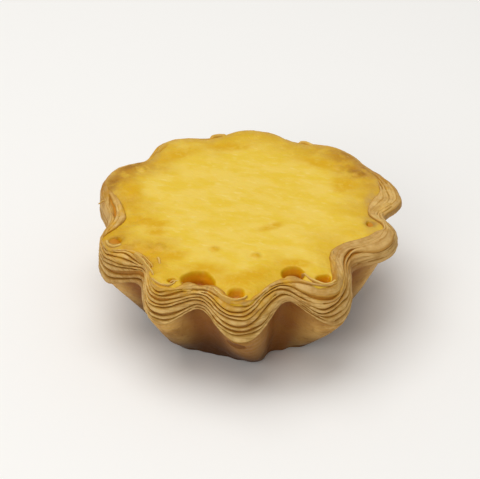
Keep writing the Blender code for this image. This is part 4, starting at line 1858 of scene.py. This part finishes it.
@dataclass(frozen=True)
class BakedCustard:
    """Mango custard set in an oven: a moist yellow skin, paler in the middle, amber where it is thin, and
    darker deep in its pockets, partly painted shade.
    """

    pale: str = "#e7c551"
    body: str = "#e3be33"
    golden: str = "#d3a50c"
    rich: str = "#d6a400"
    amber: str = "#d8940a"
    # Darker deep in the pockets: the custard's own amber-brown and painted shade.
    deep: str = "#a85c02"
    cream: str = "#ecd379"
    tan: str = "#c39a4a"
    toasted: str = "#b9820e"
    scorch: str = "#9b680c"
    turn: float = -18.0  # of the streaks that stirring has left, in degrees

    def material(self) -> bpy.types.Material:
        """Makes the material.

        Returns:
            The material: streaks of 3.8 mm, curds of 1.3 mm, and a skin with wrinkles of 0.8 mm.
        """
        surface = {"IOR": 1.4, "Specular IOR Level": 0.28, "Coat Weight": 0.08, "Coat Roughness": 0.25}
        surface |= {"Subsurface Weight": 0.15, "Subsurface Scale": 0.0012}
        surface |= {"Subsurface Radius": (1.0, 0.6, 0.15)}
        paint = Paint("mango_custard_baked", self.body, surface)
        streak = paint.cloud(3.8, 3.0, (0.55, 1.0, 1.0), self.turn)
        curd = paint.cloud(1.3, 2.0, (0.5, 1.0, 1.0), self.turn)
        wrinkles = paint.cloud(0.8, 3.0, (0.5, 1.0, 1.0), self.turn)
        paint.lay(self.pale, paint.spread(streak, 0.34, 0.64))
        paint.lay(self.cream, paint.spread(curd, 0.54, 0.76, 0.0, 0.42))
        paint.lay(self.golden, Mark.GOLDEN, paint.spread(paint.cloud(6.0), 0.32, 0.58, 0.52, 1.0))
        paint.lay(self.toasted, Mark.TOASTED, paint.spread(paint.cloud(3.2, 4.0), 0.36, 0.58, 0.45, 1.15))
        paint.lay(self.rich, Mark.RICH, paint.spread(paint.cloud(2.0, 4.0), 0.34, 0.54, 0.5, 1.0))
        paint.lay(self.tan, Mark.FILM, paint.spread(paint.cloud(2.6, 4.0), 0.36, 0.56, 0.45, 1.0))
        paint.lay(self.rich, paint.spread(Mark.POCKET, 0.0, 0.12))
        paint.lay(self.amber, paint.spread(Mark.POCKET, 0.08, 0.4))
        # Darker with depth in the pockets: the custard's colour and painted shade.
        paint.lay(self.deep, paint.spread(Mark.POCKET, 0.5, 1.0, 0.0, 0.95))
        paint.lay(self.scorch, Mark.SCORCH, paint.spread(paint.cloud(2.2, 4.0), 0.36, 0.58, 0.35, 0.85))
        rugged = paint.product(paint.cloud(1.5, 2.0), Mark.GOLDEN)
        return paint.finish(paint.spread(curd, 0.3, 0.7, 0.36, 0.5), (rugged, 0.28), (wrinkles, 0.09))


# ---------------------------------------------------------------------------------------------
# The studio
# ---------------------------------------------------------------------------------------------


@dataclass(frozen=True)
class Studio:
    """A pale floor, soft light from above, and the camera.

    Attributes:
        elevation: How far the camera looks down, in degrees.
        distance: From the camera to the tart's middle, in millimetres.
        lens: Focal length in millimetres.
        sensor: Width of the sensor in millimetres.
        shift: How far the frame is shifted, in frame widths.
        middle: Height of the tart's middle, which the camera looks at, in millimetres.
        floor_side: Half a side of the floor, in metres.
        floor_colour: Its colour, as a hex value.
        room: Strength of the light from all round.
    """

    elevation: float = 35.7
    distance: float = 450.0
    lens: float = 116.4
    sensor: float = 36.0
    shift: tuple[float, float] = (-0.0113, 0.0344)
    middle: float = 15.0
    floor_side: float = 1.5
    floor_colour: str = "#f4f2ee"
    room: float = 0.42

    def floor(self) -> None:
        """Lays the floor: matte paper, which takes a soft shadow and no gloss."""
        side = self.floor_side
        mesh = bpy.data.meshes.new("studio_floor")
        corners = [(-side, -side, 0.0), (side, -side, 0.0), (side, side, 0.0), (-side, side, 0.0)]
        mesh.from_pydata(corners, [], [(0, 1, 2, 3)])
        floor = link_piece("studio_floor", mesh)
        material = bpy.data.materials.new("matte_paper_sweep")
        material.use_nodes = True
        shader = material.node_tree.nodes["Principled BSDF"]
        shader.inputs["Base Color"].default_value = linear(self.floor_colour)
        shader.inputs["Roughness"].default_value = 0.9
        floor.data.materials.append(material)

    def lamp(self, name: str, place: tuple[float, float, float], size: float, power: float) -> None:
        """Hangs a soft square lamp that points at the tart.

        Args:
            name: Its name.
            place: Where it hangs, in metres.
            size: Its side in metres.
            power: Its power in watts.
        """
        light = bpy.data.lights.new(name, "AREA")
        light.size, light.energy = size, power
        lamp = bpy.data.objects.new(name, light)
        lamp.location = place
        towards = Vector((0.0, 0.0, 0.02)) - Vector(place)
        lamp.rotation_euler = towards.to_track_quat("-Z", "Y").to_euler()
        bpy.context.scene.collection.objects.link(lamp)

    def lights(self) -> None:
        """Hangs the lamps and sets the room's light."""
        world = bpy.data.worlds.new("studio_room")
        bpy.context.scene.world = world
        world.use_nodes = True
        sky = world.node_tree.nodes["Background"]
        sky.inputs["Color"].default_value = (1.0, 1.0, 1.0, 1.0)
        sky.inputs["Strength"].default_value = self.room
        self.lamp("softbox_over", place=(-0.15, 0.1, 0.9), size=0.8, power=5.4)
        self.lamp("softbox_front", place=(-0.35, -0.7, 0.55), size=0.5, power=1.9)

    def camera(self) -> None:
        """Sets up the camera."""
        lens = bpy.data.cameras.new("camera")
        lens.sensor_width, lens.lens = self.sensor, self.lens
        lens.shift_x, lens.shift_y = self.shift
        lens.clip_start = 0.01
        camera = bpy.data.objects.new("camera", lens)
        tilt = math.radians(self.elevation)
        away, middle = self.distance * MM, self.middle * MM
        camera.location = (0.0, -away * math.cos(tilt), middle + away * math.sin(tilt))
        camera.rotation_euler = (math.pi / 2.0 - tilt, 0.0, 0.0)
        bpy.context.scene.collection.objects.link(camera)
        bpy.context.scene.camera = camera

    def build(self) -> None:
        """Sets up the whole studio."""
        self.floor()
        self.lights()
        self.camera()
        bpy.context.scene.view_settings.view_transform = "Standard"


def main() -> None:
    """Builds the tart and its studio, and logs how many faces each piece has."""
    logging.basicConfig(level=logging.INFO, format="%(message)s")
    outline = Outline()
    Studio().build()
    leaves = LeafBand(outline).build(BakedLeaf().material())
    for leaf in leaves + LooseLeaves(outline).build(PALE_FLAKE.material()):
        dress(leaf, SHELL_NODE)
    dress(ShellWall(outline).build(BakedWall().material()), SHELL_NODE)
    dress(MangoCustard(outline).build(BakedCustard().material()), CUSTARD_NODE)


if __name__ == "__main__":
    main()
